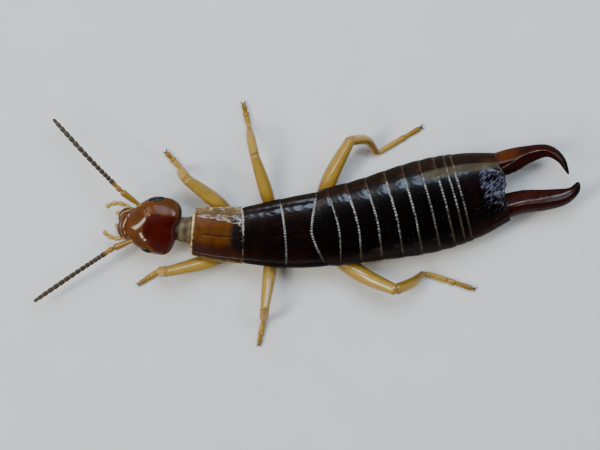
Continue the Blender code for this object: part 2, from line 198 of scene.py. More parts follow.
def addNode(tree, kind, place, **values):
    node = tree.nodes.new(kind)
    node.location = place
    for name, value in values.items():
        setattr(node, name, value)
    return node


# a new node group with named sockets
def newGroup(name, inputs, outputs):
    tree = bpy.data.node_groups.new(name, "ShaderNodeTree")
    for socketName, kind, value in inputs:
        socket = tree.interface.new_socket(socketName, in_out="INPUT", socket_type=kind)
        socket.default_value = value
    for socketName, kind in outputs:
        tree.interface.new_socket(socketName, in_out="OUTPUT", socket_type=kind)
    return tree, addNode(tree, "NodeGroupInput", (-800, 0)), addNode(tree, "NodeGroupOutput", (600, 0))


# height of a fine leathery grain with small pits: noise at one size less round dents at another
def makeGrainGroup():
    inputs = [
        ("Grain Size", "NodeSocketFloat", 0.05),
        ("Pit Size", "NodeSocketFloat", 0.12),
        ("Pit Depth", "NodeSocketFloat", 0.5),
    ]
    tree, given, made = newGroup("shellGrain", inputs, [("Height", "NodeSocketFloat")])
    link = tree.links.new
    place = addNode(tree, "ShaderNodeTexCoord", (-800, 300))
    textures = {}
    kinds = (("Grain Size", "ShaderNodeTexNoise", 0), ("Pit Size", "ShaderNodeTexVoronoi", -260))
    for socket, kind, spot in kinds:
        perMetre = addNode(tree, "ShaderNodeMath", (-600, spot), operation="DIVIDE")
        perMetre.inputs[0].default_value = 1 / mm
        link(given.outputs[socket], perMetre.inputs[1])
        textures[socket] = addNode(tree, kind, (-400, spot))
        link(place.outputs["Object"], textures[socket].inputs["Vector"])
        link(perMetre.outputs[0], textures[socket].inputs["Scale"])
    textures["Grain Size"].inputs["Detail"].default_value = 3.0
    pit = addNode(tree, "ShaderNodeMapRange", (-200, -260))
    pit.inputs["From Max"].default_value = 0.35  # a pit's reach, as a share of its size
    link(textures["Pit Size"].outputs["Distance"], pit.inputs["Value"])
    depth = addNode(tree, "ShaderNodeMath", (0, -260), operation="MULTIPLY")
    link(pit.outputs["Result"], depth.inputs[0])
    link(given.outputs["Pit Depth"], depth.inputs[1])
    total = addNode(tree, "ShaderNodeMath", (200, 0), operation="ADD")
    link(textures["Grain Size"].outputs["Fac"], total.inputs[0])
    link(depth.outputs[0], total.inputs[1])
    link(total.outputs[0], made.inputs["Height"])
    return tree


# a mask whose border wanders: the mask plus centred noise, made steeper about its middle;
# the noise can be turned about Z and drawn out along the new X, which makes strokes of it
def makeWanderGroup():
    inputs = [
        ("Mask", "NodeSocketFloat", 0.0),
        ("Patch Size", "NodeSocketFloat", 0.4),
        ("Wander", "NodeSocketFloat", 0.3),
        ("Softness", "NodeSocketFloat", 0.4),
        ("Turn", "NodeSocketFloat", 0.0),
        ("Shorten", "NodeSocketVector", (1.0, 1.0, 1.0)),
    ]
    tree, given, made = newGroup("wanderingMask", inputs, [("Mask", "NodeSocketFloat")])
    link = tree.links.new
    place = addNode(tree, "ShaderNodeTexCoord", (-1200, 300))
    turned = addNode(tree, "ShaderNodeVectorRotate", (-1000, 300), rotation_type="Z_AXIS")
    link(place.outputs["Object"], turned.inputs["Vector"])
    link(given.outputs["Turn"], turned.inputs["Angle"])
    shortened = addNode(tree, "ShaderNodeVectorMath", (-800, 300), operation="MULTIPLY")
    link(turned.outputs["Vector"], shortened.inputs[0])
    link(given.outputs["Shorten"], shortened.inputs[1])
    perMetre = addNode(tree, "ShaderNodeMath", (-600, 200), operation="DIVIDE")
    perMetre.inputs[0].default_value = 1 / mm
    link(given.outputs["Patch Size"], perMetre.inputs[1])
    noise = addNode(tree, "ShaderNodeTexNoise", (-400, 200))
    noise.inputs["Detail"].default_value = 4.0
    link(shortened.outputs["Vector"], noise.inputs["Vector"])
    link(perMetre.outputs[0], noise.inputs["Scale"])
    centred = addNode(tree, "ShaderNodeMath", (-200, 200), operation="SUBTRACT")
    centred.inputs[1].default_value = 0.5
    link(noise.outputs["Fac"], centred.inputs[0])
    moved = addNode(tree, "ShaderNodeMath", (0, 100), operation="MULTIPLY_ADD")
    link(centred.outputs[0], moved.inputs[0])
    link(given.outputs["Wander"], moved.inputs[1])
    link(given.outputs["Mask"], moved.inputs[2])
    low = addNode(tree, "ShaderNodeMath", (0, -100), operation="MULTIPLY_ADD")
    low.inputs[1].default_value = -0.5
    low.inputs[2].default_value = 0.5
    link(given.outputs["Softness"], low.inputs[0])
    high = addNode(tree, "ShaderNodeMath", (0, -250), operation="MULTIPLY_ADD")
    high.inputs[1].default_value = 0.5
    high.inputs[2].default_value = 0.5
    link(given.outputs["Softness"], high.inputs[0])
    steep = addNode(tree, "ShaderNodeMapRange", (300, 0), interpolation_type="SMOOTHSTEP")
    link(moved.outputs[0], steep.inputs["Value"])
    link(low.outputs[0], steep.inputs["From Min"])
    link(high.outputs[0], steep.inputs["From Max"])
    link(steep.outputs["Result"], made.inputs["Mask"])
    return tree


grainGroup = makeGrainGroup()
wanderGroup = makeWanderGroup()


# what a finish has where its own dictionary says nothing
plainLook = {
    "specular": 0.5, "coat": 0.0, "coatRoughness": 0.08, "layers": (),
    "cloudSize": 0.6, "cloudDepth": 0.25,
    "grainSize": 0.06, "pitSize": 0.12, "pitDepth": 0.5, "grainStrength": 0.3, "grainHeight": 0.004,
}
noiseRange = (0.3, 0.7)  # where nearly all of a cloud's noise lies
creaseStretch = (0.45, 1.0, 1.0)  # creases are longer along X


# One finish: a base colour, then layers laid over it in turn, a slow change of tone, a gloss that may change
# along one mark, a grain, and a row of beads or a patch of creases where a mark is
def makeFinish(name, ownLook):
    look = {**plainLook, **ownLook}
    material = bpy.data.materials.new(name)
    material.use_nodes = True
    tree = material.node_tree
    link = tree.links.new
    shader = tree.nodes["Principled BSDF"]
    shader.inputs["Roughness"].default_value = look["roughness"]
    shader.inputs["Specular IOR Level"].default_value = look["specular"]
    shader.inputs["Coat Weight"].default_value = look["coat"]
    shader.inputs["Coat Roughness"].default_value = look["coatRoughness"]
    shader.inputs["Coat IOR"].default_value = 1.5
    if "translucency" in look:
        shader.inputs["Subsurface Weight"].default_value = look["translucency"]
        shader.inputs["Subsurface Radius"].default_value = look["depthByColour"]
        shader.inputs["Subsurface Scale"].default_value = look["depth"] * mm

    def compute(kind, *values):
        node = addNode(tree, "ShaderNodeMath", (-300, -1000), operation=kind)
        for socket, value in zip(node.inputs, values):
            if isinstance(value, (int, float)):
                socket.default_value = value
            else:
                link(value, socket)
        return node.outputs[0]

    marks = {}

    def markOf(mark):
        if mark not in marks:
            node = addNode(tree, "ShaderNodeAttribute", (-1300, -220 * len(marks)), attribute_name=mark)
            marks[mark] = node.outputs["Fac"]
        return marks[mark]

    beads = None
    if "beads" in look:  # the sine of the turn round the piece, so many times
        beadMark, number, beadShare = look["beads"]
        surface = addNode(tree, "ShaderNodeUVMap", (-1300, -1400), uv_map="surface")
        split = addNode(tree, "ShaderNodeSeparateXYZ", (-1100, -1400))
        link(surface.outputs["UV"], split.inputs[0])
        beads = compute("SINE", compute("MULTIPLY", split.outputs["Y"], number * 2 * math.pi))
    colour = addNode(tree, "ShaderNodeRGB", (-900, 400)).outputs[0]
    colour.default_value = (*look["colour"], 1.0)
    for k, (mark, tint, patchSize, wander, softness, *stroke) in enumerate(look["layers"]):
        border = addNode(tree, "ShaderNodeGroup", (-1000 + 220 * k, -200 * k), node_tree=wanderGroup)
        link(markOf(mark), border.inputs["Mask"])
        border.inputs["Patch Size"].default_value = patchSize
        border.inputs["Wander"].default_value = wander
        border.inputs["Softness"].default_value = softness
        if stroke:
            direction, longer = stroke
            border.inputs["Turn"].default_value = -direction
            border.inputs["Shorten"].default_value = (1 / longer, 1.0, 1.0)
        mask = border.outputs["Mask"]
        if beads and mark == beadMark:
            mask = compute("MULTIPLY", mask, compute("MULTIPLY_ADD", beads, 0.5, 0.5))
        mix = addNode(tree, "ShaderNodeMix", (-800 + 220 * k, 300), data_type="RGBA")
        link(mask, mix.inputs["Factor"])
        link(colour, mix.inputs["A"])
        mix.inputs["B"].default_value = (*tint, 1.0)
        colour = mix.outputs["Result"]
    # a slow change of tone over the whole surface
    place = addNode(tree, "ShaderNodeTexCoord", (-1300, 700))
    cloud = addNode(tree, "ShaderNodeTexNoise", (-900, 700))
    cloud.inputs["Scale"].default_value = 1 / (look["cloudSize"] * mm)
    cloud.inputs["Detail"].default_value = 5.0
    link(place.outputs["Object"], cloud.inputs["Vector"])
    tone = addNode(tree, "ShaderNodeMapRange", (-700, 700))
    tone.inputs["From Min"].default_value = noiseRange[0]
    tone.inputs["From Max"].default_value = noiseRange[1]
    tone.inputs["To Min"].default_value = 1 - look["cloudDepth"]
    tone.inputs["To Max"].default_value = 1 + look["cloudDepth"]
    link(cloud.outputs["Fac"], tone.inputs["Value"])
    shaded = addNode(tree, "ShaderNodeVectorMath", (-200, 500), operation="SCALE")
    link(colour, shaded.inputs[0])
    link(tone.outputs["Result"], shaded.inputs["Scale"])
    link(shaded.outputs["Vector"], shader.inputs["Base Color"])
    if "dull" in look:  # roughness and coat where the mark is 1
        mark, dullRoughness, dullCoat = look["dull"]
        changes = (("Roughness", look["roughness"], dullRoughness), ("Coat Weight", look["coat"], dullCoat))
        for socket, plain, dull in changes:
            link(compute("MULTIPLY_ADD", markOf(mark), dull - plain, plain), shader.inputs[socket])
    grain = addNode(tree, "ShaderNodeGroup", (-600, -600), node_tree=grainGroup)
    for socket, key in (("Grain Size", "grainSize"), ("Pit Size", "pitSize"), ("Pit Depth", "pitDepth")):
        grain.inputs[socket].default_value = look[key]
    height = grain.outputs["Height"]
    if "creases" in look:  # long fine wrinkles, only where the mark is
        mark, creaseSize, creaseShare = look["creases"]
        stretched = addNode(tree, "ShaderNodeVectorMath", (-1100, -900), operation="MULTIPLY")
        stretched.inputs[1].default_value = creaseStretch
        link(place.outputs["Object"], stretched.inputs[0])
        creases = addNode(tree, "ShaderNodeTexNoise", (-900, -900))
        creases.inputs["Scale"].default_value = 1 / (creaseSize * mm)
        creases.inputs["Detail"].default_value = 3.0
        link(stretched.outputs["Vector"], creases.inputs["Vector"])
        depth = compute("MULTIPLY", creases.outputs["Fac"], markOf(mark))
        height = compute("MULTIPLY_ADD", depth, creaseShare, height)
    if beads:
        depth = compute("MULTIPLY", beads, markOf(beadMark))
        height = compute("MULTIPLY_ADD", depth, beadShare, height)
    bump = addNode(tree, "ShaderNodeBump", (-200, -600))
    bump.inputs["Strength"].default_value = look["grainStrength"]
    bump.inputs["Distance"].default_value = look["grainHeight"] * mm
    link(height, bump.inputs["Height"])
    link(bump.outputs["Normal"], shader.inputs["Normal"])
    return material


# Finishes. Colours are linear and sizes are millimetres. A layer reads (mark on the mesh, colour, size of the
# border's wandering, how far it wanders, softness), and one of strokes also their direction as a turn from X
# and how many times longer than wide they are. "dull" reads (mark, roughness, coat), "creases" (mark, size,
# height against the grain's) and "beads" (mark, number round the piece, height)
finishes = {
    "headShell": {
        "colour": (0.112, 0.030, 0.0006), "roughness": 0.36, "specular": 0.10,
        "coat": 0.80, "coatRoughness": 0.08, "dull": ("matt", 0.40, 0.16),
        "layers": (
            ("deep", (0.058, 0.0022, 0.0001), 0.45, 0.20, 0.50),
            ("rim", (0.022, 0.0035, 0.0008), 0.3, 0.3, 0.7),
            ("groove", (0.030, 0.0030, 0.0008), 0.3, 0.1, 0.9),
        ),
        "translucency": 0.10, "depth": 0.08, "depthByColour": (1.0, 0.30, 0.05),
        "cloudSize": 0.5, "cloudDepth": 0.22, "grainSize": 0.05, "grainStrength": 0.15,
    },
    "amberShell": {
        "colour": (0.105, 0.030, 0.0007), "roughness": 0.36, "specular": 0.20,
        "coat": 0.65, "coatRoughness": 0.12,
        "layers": (
            ("side", (0.034, 0.0060, 0.0006), 0.35, 0.40, 0.8),
            # pale gold flanges: translucent amber, partly a painted golden highlight
            ("flange", (0.155, 0.090, 0.018), 0.22, 0.80, 0.7),
            ("dark", (0.0030, 0.0006, 0.0003), 0.45, 0.70, 0.8),
            ("groove", (0.012, 0.0020, 0.0005), 0.2, 0.3, 0.7),
            ("keel", (0.46, 0.33, 0.24), 0.10, 1.1, 0.7),
            # a pale rear rim, paler on the right, and a painted highlight at the right rear corner
            ("rear", (0.36, 0.33, 0.28), 0.09, 1.5, 0.6),
            # pale front and side rims, partly a painted highlight that is brighter on the right
            ("margin", (0.62, 0.45, 0.19), 0.16, 0.75, 0.7),
        ),
        "translucency": 0.10, "depth": 0.08, "depthByColour": (1.0, 0.45, 0.10),
        "cloudSize": 0.35, "cloudDepth": 0.38, "grainSize": 0.07, "grainStrength": 0.35,
        "creases": ("crease", 0.16, 5.0),
    },
    "darkShell": {
        "colour": (0.0014, 0.0006, 0.0005), "roughness": 0.30, "specular": 0.08,
        "coat": 0.62, "coatRoughness": 0.15, "dull": ("matt", 0.55, 0.05),
        "layers": (
            ("red", (0.0130, 0.0026, 0.0010), 0.5, 0.5, 0.9),
            ("flank", (0.0130, 0.0052, 0.0010), 0.5, 0.3, 0.6),
            # a painted golden reflection on the right flank of the last rings, and a dull brown patch that is
            # partly a painted reflection
            ("paintedGoldSheen", (0.075, 0.052, 0.025), 0.30, 0.5, 0.8),
            ("glint", (0.060, 0.013, 0.0024), 0.22, 0.7, 0.9),
            ("under", (0.050, 0.020, 0.0060), 0.5, 0.3, 0.6),
            # a painted pale blue reflection on the last ring's wrinkles
            ("paintedBlueSheen", (0.200, 0.205, 0.300), 0.090, 1.6, 0.60, 0.80, 2.6),
            ("hem", (0.060, 0.042, 0.024), 0.10, 0.9, 0.9),
            # the pale rear margins, partly a painted highlight on the rolled rims
            ("margin", (0.40, 0.40, 0.39), 0.10, 0.9, 0.8),
        ),
        "cloudSize": 0.5, "cloudDepth": 0.4, "grainSize": 0.05, "pitSize": 0.10, "grainStrength": 0.40,
        "beads": ("margin", 96, 3.0), "creases": ("crease", 0.09, 6.0),
    },
    "forcepsShell": {
        "colour": (0.026, 0.0018, 0.0002), "roughness": 0.34, "specular": 0.08,
        "coat": 0.11, "coatRoughness": 0.06, "dull": ("ridge", 0.22, 0.9),
        "layers": (
            ("tip", (0.0070, 0.0012, 0.0007), 0.4, 0.3, 0.8),
            ("glow", (0.075, 0.0160, 0.0010), 0.4, 0.4, 0.8),
            ("base", (0.0080, 0.0012, 0.0007), 0.3, 0.4, 0.7),
            # a painted pale highlight along each blade's ridge
            ("ridge", (0.150, 0.085, 0.065), 0.25, 0.9, 0.8),
        ),
        "cloudSize": 0.5, "cloudDepth": 0.30, "grainSize": 0.06, "grainStrength": 0.25,
    },
    "legShell": {
        "colour": (0.520, 0.315, 0.048), "roughness": 0.30, "specular": 0.3,
        "coat": 0.9, "coatRoughness": 0.06, "dull": ("matt", 0.42, 0.15),
        "layers": (
            # the brown core, with painted shade along each limb's two flanks
            ("core", (0.235, 0.112, 0.0065), 0.40, 0.28, 1.0),
            ("joint", (0.260, 0.125, 0.0130), 0.20, 0.6, 1.0),
        ),
        "translucency": 0.15, "depth": 0.08, "depthByColour": (1.0, 0.60, 0.14),
        "cloudSize": 0.40, "cloudDepth": 0.16, "grainSize": 0.09, "pitSize": 0.16, "grainStrength": 0.35,
    },
    "feelerShell": {
        "colour": (0.036, 0.0185, 0.0055), "roughness": 0.45, "specular": 0.25,
        "coat": 0.3, "coatRoughness": 0.2,
        "layers": (
            ("joint", (0.17, 0.115, 0.045), 0.05, 0.2, 0.7),
            ("base", (0.28, 0.135, 0.020), 0.2, 0.2, 0.8),
        ),
        "cloudSize": 0.2, "cloudDepth": 0.2, "grainSize": 0.03, "grainStrength": 0.6,
    },
    "bellyShell": {
        "colour": (0.075, 0.024, 0.0060), "roughness": 0.32, "specular": 0.3,
        "coat": 0.6, "coatRoughness": 0.12,
        "layers": (("margin", (0.17, 0.085, 0.028), 0.2, 0.4, 0.7),),
        "cloudSize": 0.4, "cloudDepth": 0.3, "grainSize": 0.06, "grainStrength": 0.5,
    },
    "softSkin": {
        "colour": (0.160, 0.118, 0.058), "roughness": 0.45, "specular": 0.3,
        "layers": (("fold", (0.070, 0.043, 0.017), 0.16, 0.5, 1.0),),
        "translucency": 0.2, "depth": 0.12, "depthByColour": (1.0, 0.6, 0.3),
        "cloudSize": 0.25, "cloudDepth": 0.4, "grainSize": 0.05, "grainStrength": 0.8, "grainHeight": 0.01,
    },
    "eyeShell": {
        "colour": (0.0120, 0.0075, 0.0060), "roughness": 0.30, "specular": 0.15,
        "coat": 0.30, "coatRoughness": 0.08,
        "cloudSize": 0.1, "cloudDepth": 0.4, "grainSize": 0.20, "pitSize": 0.035, "pitDepth": 2.0,
        "grainStrength": 0.6,
    },
    "clawShell": {
        "colour": (0.085, 0.030, 0.0070), "roughness": 0.35, "specular": 0.4,
        "coat": 0.4, "coatRoughness": 0.15,
        "cloudSize": 0.1, "cloudDepth": 0.3, "grainSize": 0.03, "grainStrength": 0.3,
    },
}
shades = {name: makeFinish(name, look) for name, look in finishes.items()}
print("finishes made")

# The body: a row of rings on one curved axis

body = {
    "axis": ((-7.2, -0.03), (-5.8, -0.24), (-2.8, -0.42), (0.8, -0.10), (5.0, 0.76), (9.8, 2.02)),
    "halfWidth": (
        (-5.8, 1.22), (-4.5, 1.37), (-3.1, 1.47), (-1.0, 1.78), (0.8, 1.95),
        (3.0, 2.10), (5.9, 2.36), (8.0, 2.22), (9.7, 1.77),
    ),
    "top": ((-5.8, 2.00), (-3.1, 2.22), (0.8, 2.42), (5.5, 2.62), (8.0, 2.52), (9.7, 2.25)),
    "side": ((-5.8, 1.58), (0.8, 1.66), (5.5, 1.48), (9.7, 1.52)),
    "belly": ((-5.8, 0.95), (-1.0, 0.68), (1.5, 0.78), (5.5, 0.46), (8.0, 0.52), (9.7, 0.80)),
    "backRoundness": 2.2,
    "bellyRoundness": 2.5,
    "ringEnds": (0.29, 1.56, 2.53, 3.49, 4.46, 5.35, 6.20, 6.92, 7.42, 7.76, 9.70),
    # how far back the two ends of each rear edge reach past its middle, and how sharply they bend
    "ringBows": (-0.30, -0.24, -0.20, -0.15, -0.12, -0.08, -0.06, -0.05, -0.05, 0.0),
    "ringPower": 1.6,
    "waistBow": 0.50, "waistPower": 1.3,  # the same for the rear edge of the last chest plate
    "middleShare": 0.25,  # how much of its bow the middle of a rear edge reaches back itself
}


# the axis's point at X, the way to the tail there, and the way to the animal's right
def axisFrame(x):
    step = 0.02
    rise = (smoothCurve(body["axis"], x + step) - smoothCurve(body["axis"], x - step)) / (2 * step)
    tailward = unit(np.stack([np.ones_like(x), rise, np.zeros_like(x)], -1))
    right = np.stack([-tailward[..., 1], tailward[..., 0], np.zeros_like(x)], -1)
    return np.stack([x, smoothCurve(body["axis"], x), np.zeros_like(x)], -1), tailward, right


# points so far across the axis and so high at each X
def acrossAxis(x, across, height):
    origin, _, right = axisFrame(x)
    return origin[:, None] + right[:, None] * across[..., None] + up * height[..., None]


# points moved so far towards the tail
def movedBack(rows, x, distance):
    return rows + axisFrame(x)[1][:, None] * distance[..., None]


# points round the body: at each X a half superellipse over the widest line and another one under it,
# both drawn in by the inset; the bow carries a point back by its share of the half-width to a power
def bodyRows(x, angle, inset, belly, bellyRoundness, bow=0.0, power=2.0):
    wide = smoothCurve(body["halfWidth"], x)[:, None] - inset
    side = smoothCurve(body["side"], x)[:, None]
    over = smoothCurve(body["top"], x)[:, None] - side - inset
    under = side - smoothCurve(belly, x)[:, None] - inset
    rising = np.sin(angle)
    roundness = np.where(rising > 0, body["backRoundness"], bellyRoundness)
    across = wide * signedPower(np.cos(angle), 2 / roundness)
    height = side + np.where(rising > 0, over, under) * signedPower(rising, 2 / roundness)
    share = across / (wide + inset)
    back = np.broadcast_to(bow, across.shape) * np.abs(share) ** power
    return movedBack(acrossAxis(x, across, height), x, back), share, height


# X, the inset and the share of the length at points along an outline from front to rear. Its knots are
# (share of the points before it, end it is measured from, how far behind, the same by length, inset)
def outlineAt(knots, start, end, count):
    ends = {"front": start, "rear": end}
    route = [(at, (ends[side] + back + part * (end - start), inset)) for at, side, back, part, inset in knots]
    path = smoothCurve(route, np.linspace(0, 1, count))
    x = path[:, 0]
    return x, path[:, 1][:, None], np.clip((x - start) / (end - start), 0, 1)[:, None]


# The rings of the abdomen. A pair is a smooth step's two ends or a bell's centre and width: across the body
# from -1 at the left to 1 at the right, out from the middle where the name says edge, or along the ring
ring = {
    "around": 200, "stations": 60, "lastStations": 110, "halfGap": 0.02,
    "outline": (
        (0.00, "front", -0.24, 0.0, 0.22), (0.06, "front", -0.14, 0.0, 0.10),
        (0.13, "front", -0.03, 0.0, 0.045), (0.24, "front", 0.0, 0.12, 0.030),
        (0.42, "front", 0.0, 0.40, 0.012), (0.68, "rear", -0.16, -0.10, 0.0),
        (0.76, "rear", -0.115, 0.0, 0.006), (0.81, "rear", -0.085, 0.0, 0.013),
        (0.86, "rear", -0.055, 0.0, 0.002), (0.91, "rear", -0.02, 0.0, 0.006),
        (0.95, "rear", 0.005, 0.0, 0.030), (0.98, "rear", 0.005, 0.0, 0.07), (1.00, "rear", -0.02, 0.0, 0.22),
    ),
    # steps where back, flank and belly plates meet: share of the depth, height over the side line, width
    "seams": ((1.0, -0.22, 0.035), (0.6, 0.10, 0.03)),
    "seamDepth": 0.02, "seamFromEdge": 0.5,
    "shoulderEdge": (0.72, 0.17), "shoulderRise": (0.1, 0.3),
    "wrinkleHeight": 0.0026, "wrinkleSize": 0.13, "wrinkleRate": 0.45, "wrinkleSeed": 20,
    "rightHand": (-0.3, 0.3),
    # the pale rear margin, measured from the rear edge, partly a painted highlight on the rolled rim that is
    # brighter towards the right, and the brown hem under it
    "margin": (-0.035, 0.060), "marginHighlightSide": (-0.75, 0.25), "marginLeast": 0.12,
    "marginEdge": (0.72, 0.84), "marginEdgeFade": 0.85,
    "marginMean": 0.85, "marginRipple": 0.50, "marginRippleSize": 0.22, "marginSeed": 7,
    "paleRings": 5, "fadedMargin": 0.7, "lastMargin": 0.15,
    "hemSide": (-0.95, -0.80), "hem": 0.75, "lastHem": 0.2,
    # the flanks: brown, painted lighter on the right, where the light falls, and rough on the last rings,
    # where a painted golden reflection lies on the right
    "flankEdge": (0.80, 0.88), "flankLeast": 0.35,
    "roughRings": (6.0, 7.6), "roughEdge": (0.55, 0.66),
    "goldEdge": (0.74, 0.84), "paintedGoldSheen": 0.8,
    "glintEdge": (0.85, 0.05), "glintAlong": (0.85, 0.22), "glint": 0.7,
    "redEdge": (0.50, 0.85), "red": 0.55, "lastRed": 0.30,
    "underRise": (-0.16, -0.26),
    # a dull brown patch where the black of the back ends on the left, before each rear margin, partly the
    # shell's own brown and partly a painted reflection
    "brownTintSide": (-0.66, 0.06), "brownTintAlong": (0.25, 0.85), "brownTintAndSheen": 0.34, "brownTintRings": range(3, 8),
    # the strength of the painted pale blue reflection on the last ring's wrinkles
    "paintedBlueSheen": 0.38,
}
noMark = -0.5  # low enough to stay under the noise that moves a layer's border


# one ring of the abdomen: tucked under the ring before it, swollen in the middle,
# with a shallow furrow and a rolled rim at its rear edge, which reaches back furthest in the middle
def makeAbdomen():
    angle = turnsRound(ring["around"])
    ends = body["ringEnds"]
    lastNumber = len(ends) - 1
    for number in range(1, lastNumber + 1):
        start = ends[number - 1] + ring["halfGap"]
        end = ends[number] + ring["halfGap"]
        last = number == lastNumber
        x, inset, t = outlineAt(ring["outline"], start, end, ring["lastStations" if last else "stations"])
        rearBow = body["ringBows"][number - 1]
        frontBow = body["waistBow"] if number == 1 else body["ringBows"][number - 2]
        frontPower = body["waistPower"] if number == 1 else body["ringPower"]
        bow = frontBow * (1 - t) + rearBow * t
        power = body["ringPower"] * t + frontPower * (1 - t)
        rows, share, height = bodyRows(x, angle, inset, body["belly"], body["bellyRoundness"], bow, power)
        rows = movedBack(rows, x, -body["middleShare"] * rearBow * t)
        overSide = height - smoothCurve(body["side"], x)[:, None]
        edge = np.abs(share)
        seam = sum(part * bell(overSide, *place) for part, *place in ring["seams"])
        seam = seam * (edge > ring["seamFromEdge"])
        rows = raised(rows, -ring["seamDepth"] * seam * np.sign(overSide))
        shoulder = bell(edge, *ring["shoulderEdge"]) * smoothStep(*ring["shoulderRise"], overSide)
        wrinkles = ripple(rows, ring["wrinkleSize"], ring["wrinkleSeed"] + number, ring["wrinkleRate"])
        rows = raised(rows, ring["wrinkleHeight"] * wrinkles * shoulder)
        rough = 0.0
        if last:
            rows, rough = roughenLastRing(rows, share, height, x, end)
        marks = ringMarks(number, last, x - end, t, rows, share, overSide, rough)
        marks["crease"] = shoulder + rough
        finish = shades["darkShell"]
        addPiece(f"abdomenRing{number:02d}", rows, finish, [f"abdomen_{number:02d}"], marks)


# where a ring is pale, brown, red, gold or matt; the right side, where the light falls, is painted brighter:
# the brown flank and pale margin there are partly painted light, and the gold and glint are painted
# reflections
def ringMarks(number, last, fromEnd, t, rows, share, overSide, rough):
    edge = np.abs(share)
    rightHand = smoothStep(*ring["rightHand"], share)
    rim = bell(fromEnd, *ring["margin"])[:, None]
    margin = rim * atLeast(ring["marginLeast"], smoothStep(*ring["marginHighlightSide"], share))
    wander = ripple(rows, ring["marginRippleSize"], ring["marginSeed"] + number)
    margin = margin * (ring["marginMean"] + ring["marginRipple"] * wander)
    margin = margin * (1 - ring["marginEdgeFade"] * smoothStep(*ring["marginEdge"], edge))
    margin = margin * (1.0 if number <= ring["paleRings"] else ring["fadedMargin"])
    hem = ring["hem"] * rim * smoothStep(*ring["hemSide"], share)
    flank = smoothStep(*ring["flankEdge"], edge)
    rugose = smoothStep(*ring["roughRings"], number + t) * smoothStep(*ring["roughEdge"], edge)
    paintedGoldSheen = ring["paintedGoldSheen"] * rugose * rightHand * (1 - smoothStep(*ring["goldEdge"], edge))
    brownTintAndSheen = ring["brownTintAndSheen"] * bell(share, *ring["brownTintSide"]) * smoothStep(*ring["brownTintAlong"], t)
    glint = bell(edge, *ring["glintEdge"]) * bell(t, *ring["glintAlong"]) * rightHand
    return {
        "margin": margin * (ring["lastMargin"] if last else 1.0),
        "hem": hem * (ring["lastHem"] if last else 1.0),
        "paintedBlueSheen": ring["paintedBlueSheen"] * rough if last else noMark,
        "flank": flank * atLeast(ring["flankLeast"], rightHand),
        "red": ring["red"] * smoothStep(*ring["redEdge"], edge) + (ring["lastRed"] if last else 0.0),
        "glint": ring["glint"] * glint,
        "paintedGoldSheen": np.maximum(paintedGoldSheen, brownTintAndSheen * (number in ring["brownTintRings"])),
        "matt": np.maximum(flank, rugose),
        "under": smoothStep(*ring["underRise"], overSide),
    }


# the last ring's rear part; pairs along it are measured from its rear edge
lastRing = {
    "above": (1.8, 2.2), "rear": (-1.15, -0.75),
    "furrow": (0.0, 0.06), "furrowAlong": (-1.6, -0.6), "furrowDepth": 0.04,
    "humps": ((0.52, 0.20), (-0.52, 0.20)), "humpAlong": (-0.28, 0.26), "humpHeight": 0.10,
    "dip": (0.05, 0.34), "dipAlong": (-0.10, 0.40), "dipDepth": 0.10,
    "rough": (0.16, 0.50), "wrinkleHeight": 0.0105, "wrinkleRate": 0.55,
    "wrinkles": ((1.0, 0.19, 3), (0.5, 0.10, 4)),  # share, size and seed of each run of wrinkles
    "keelEdge": (0.80, 0.05), "keelAlong": (-1.5, -0.7), "keelHeight": 0.030, "keelAbove": 1.6,
    # a lobe that reaches back over the right forceps
    "lobe": (0.34, 0.36), "lobeAlong": (-0.9, 0.0), "lobeLength": 0.26,
}


# a lengthwise furrow, two swellings over the forceps, wrinkles between them and a keel along each flank
def roughenLastRing(rows, share, height, x, end):
    along = x[:, None] - end
    above = smoothStep(*lastRing["above"], height)
    furrow = bell(share, *lastRing["furrow"]) * smoothStep(*lastRing["furrowAlong"], along)
    humps = sum(bell(share, *hump) for hump in lastRing["humps"]) * bell(along, *lastRing["humpAlong"])
    dip = bell(share, *lastRing["dip"]) * bell(along, *lastRing["dipAlong"])
    lift = lastRing["humpHeight"] * humps - lastRing["furrowDepth"] * furrow - lastRing["dipDepth"] * dip
    rough = smoothStep(*lastRing["rear"], along) * bell(share, *lastRing["rough"]) * above
    wrinkles = sum(
        part * ripple(rows, size, seed, lastRing["wrinkleRate"]) for part, size, seed in lastRing["wrinkles"])
    keel = bell(np.abs(share), *lastRing["keelEdge"]) * smoothStep(*lastRing["keelAlong"], along)
    lift = lift * above + lastRing["wrinkleHeight"] * wrinkles * rough
    lift = lift + lastRing["keelHeight"] * keel * (height > lastRing["keelAbove"])
    lobe = lastRing["lobeLength"] * bell(share, *lastRing["lobe"]) * smoothStep(*lastRing["lobeAlong"], along)
    return movedBack(raised(rows, lift), x, lobe), rough


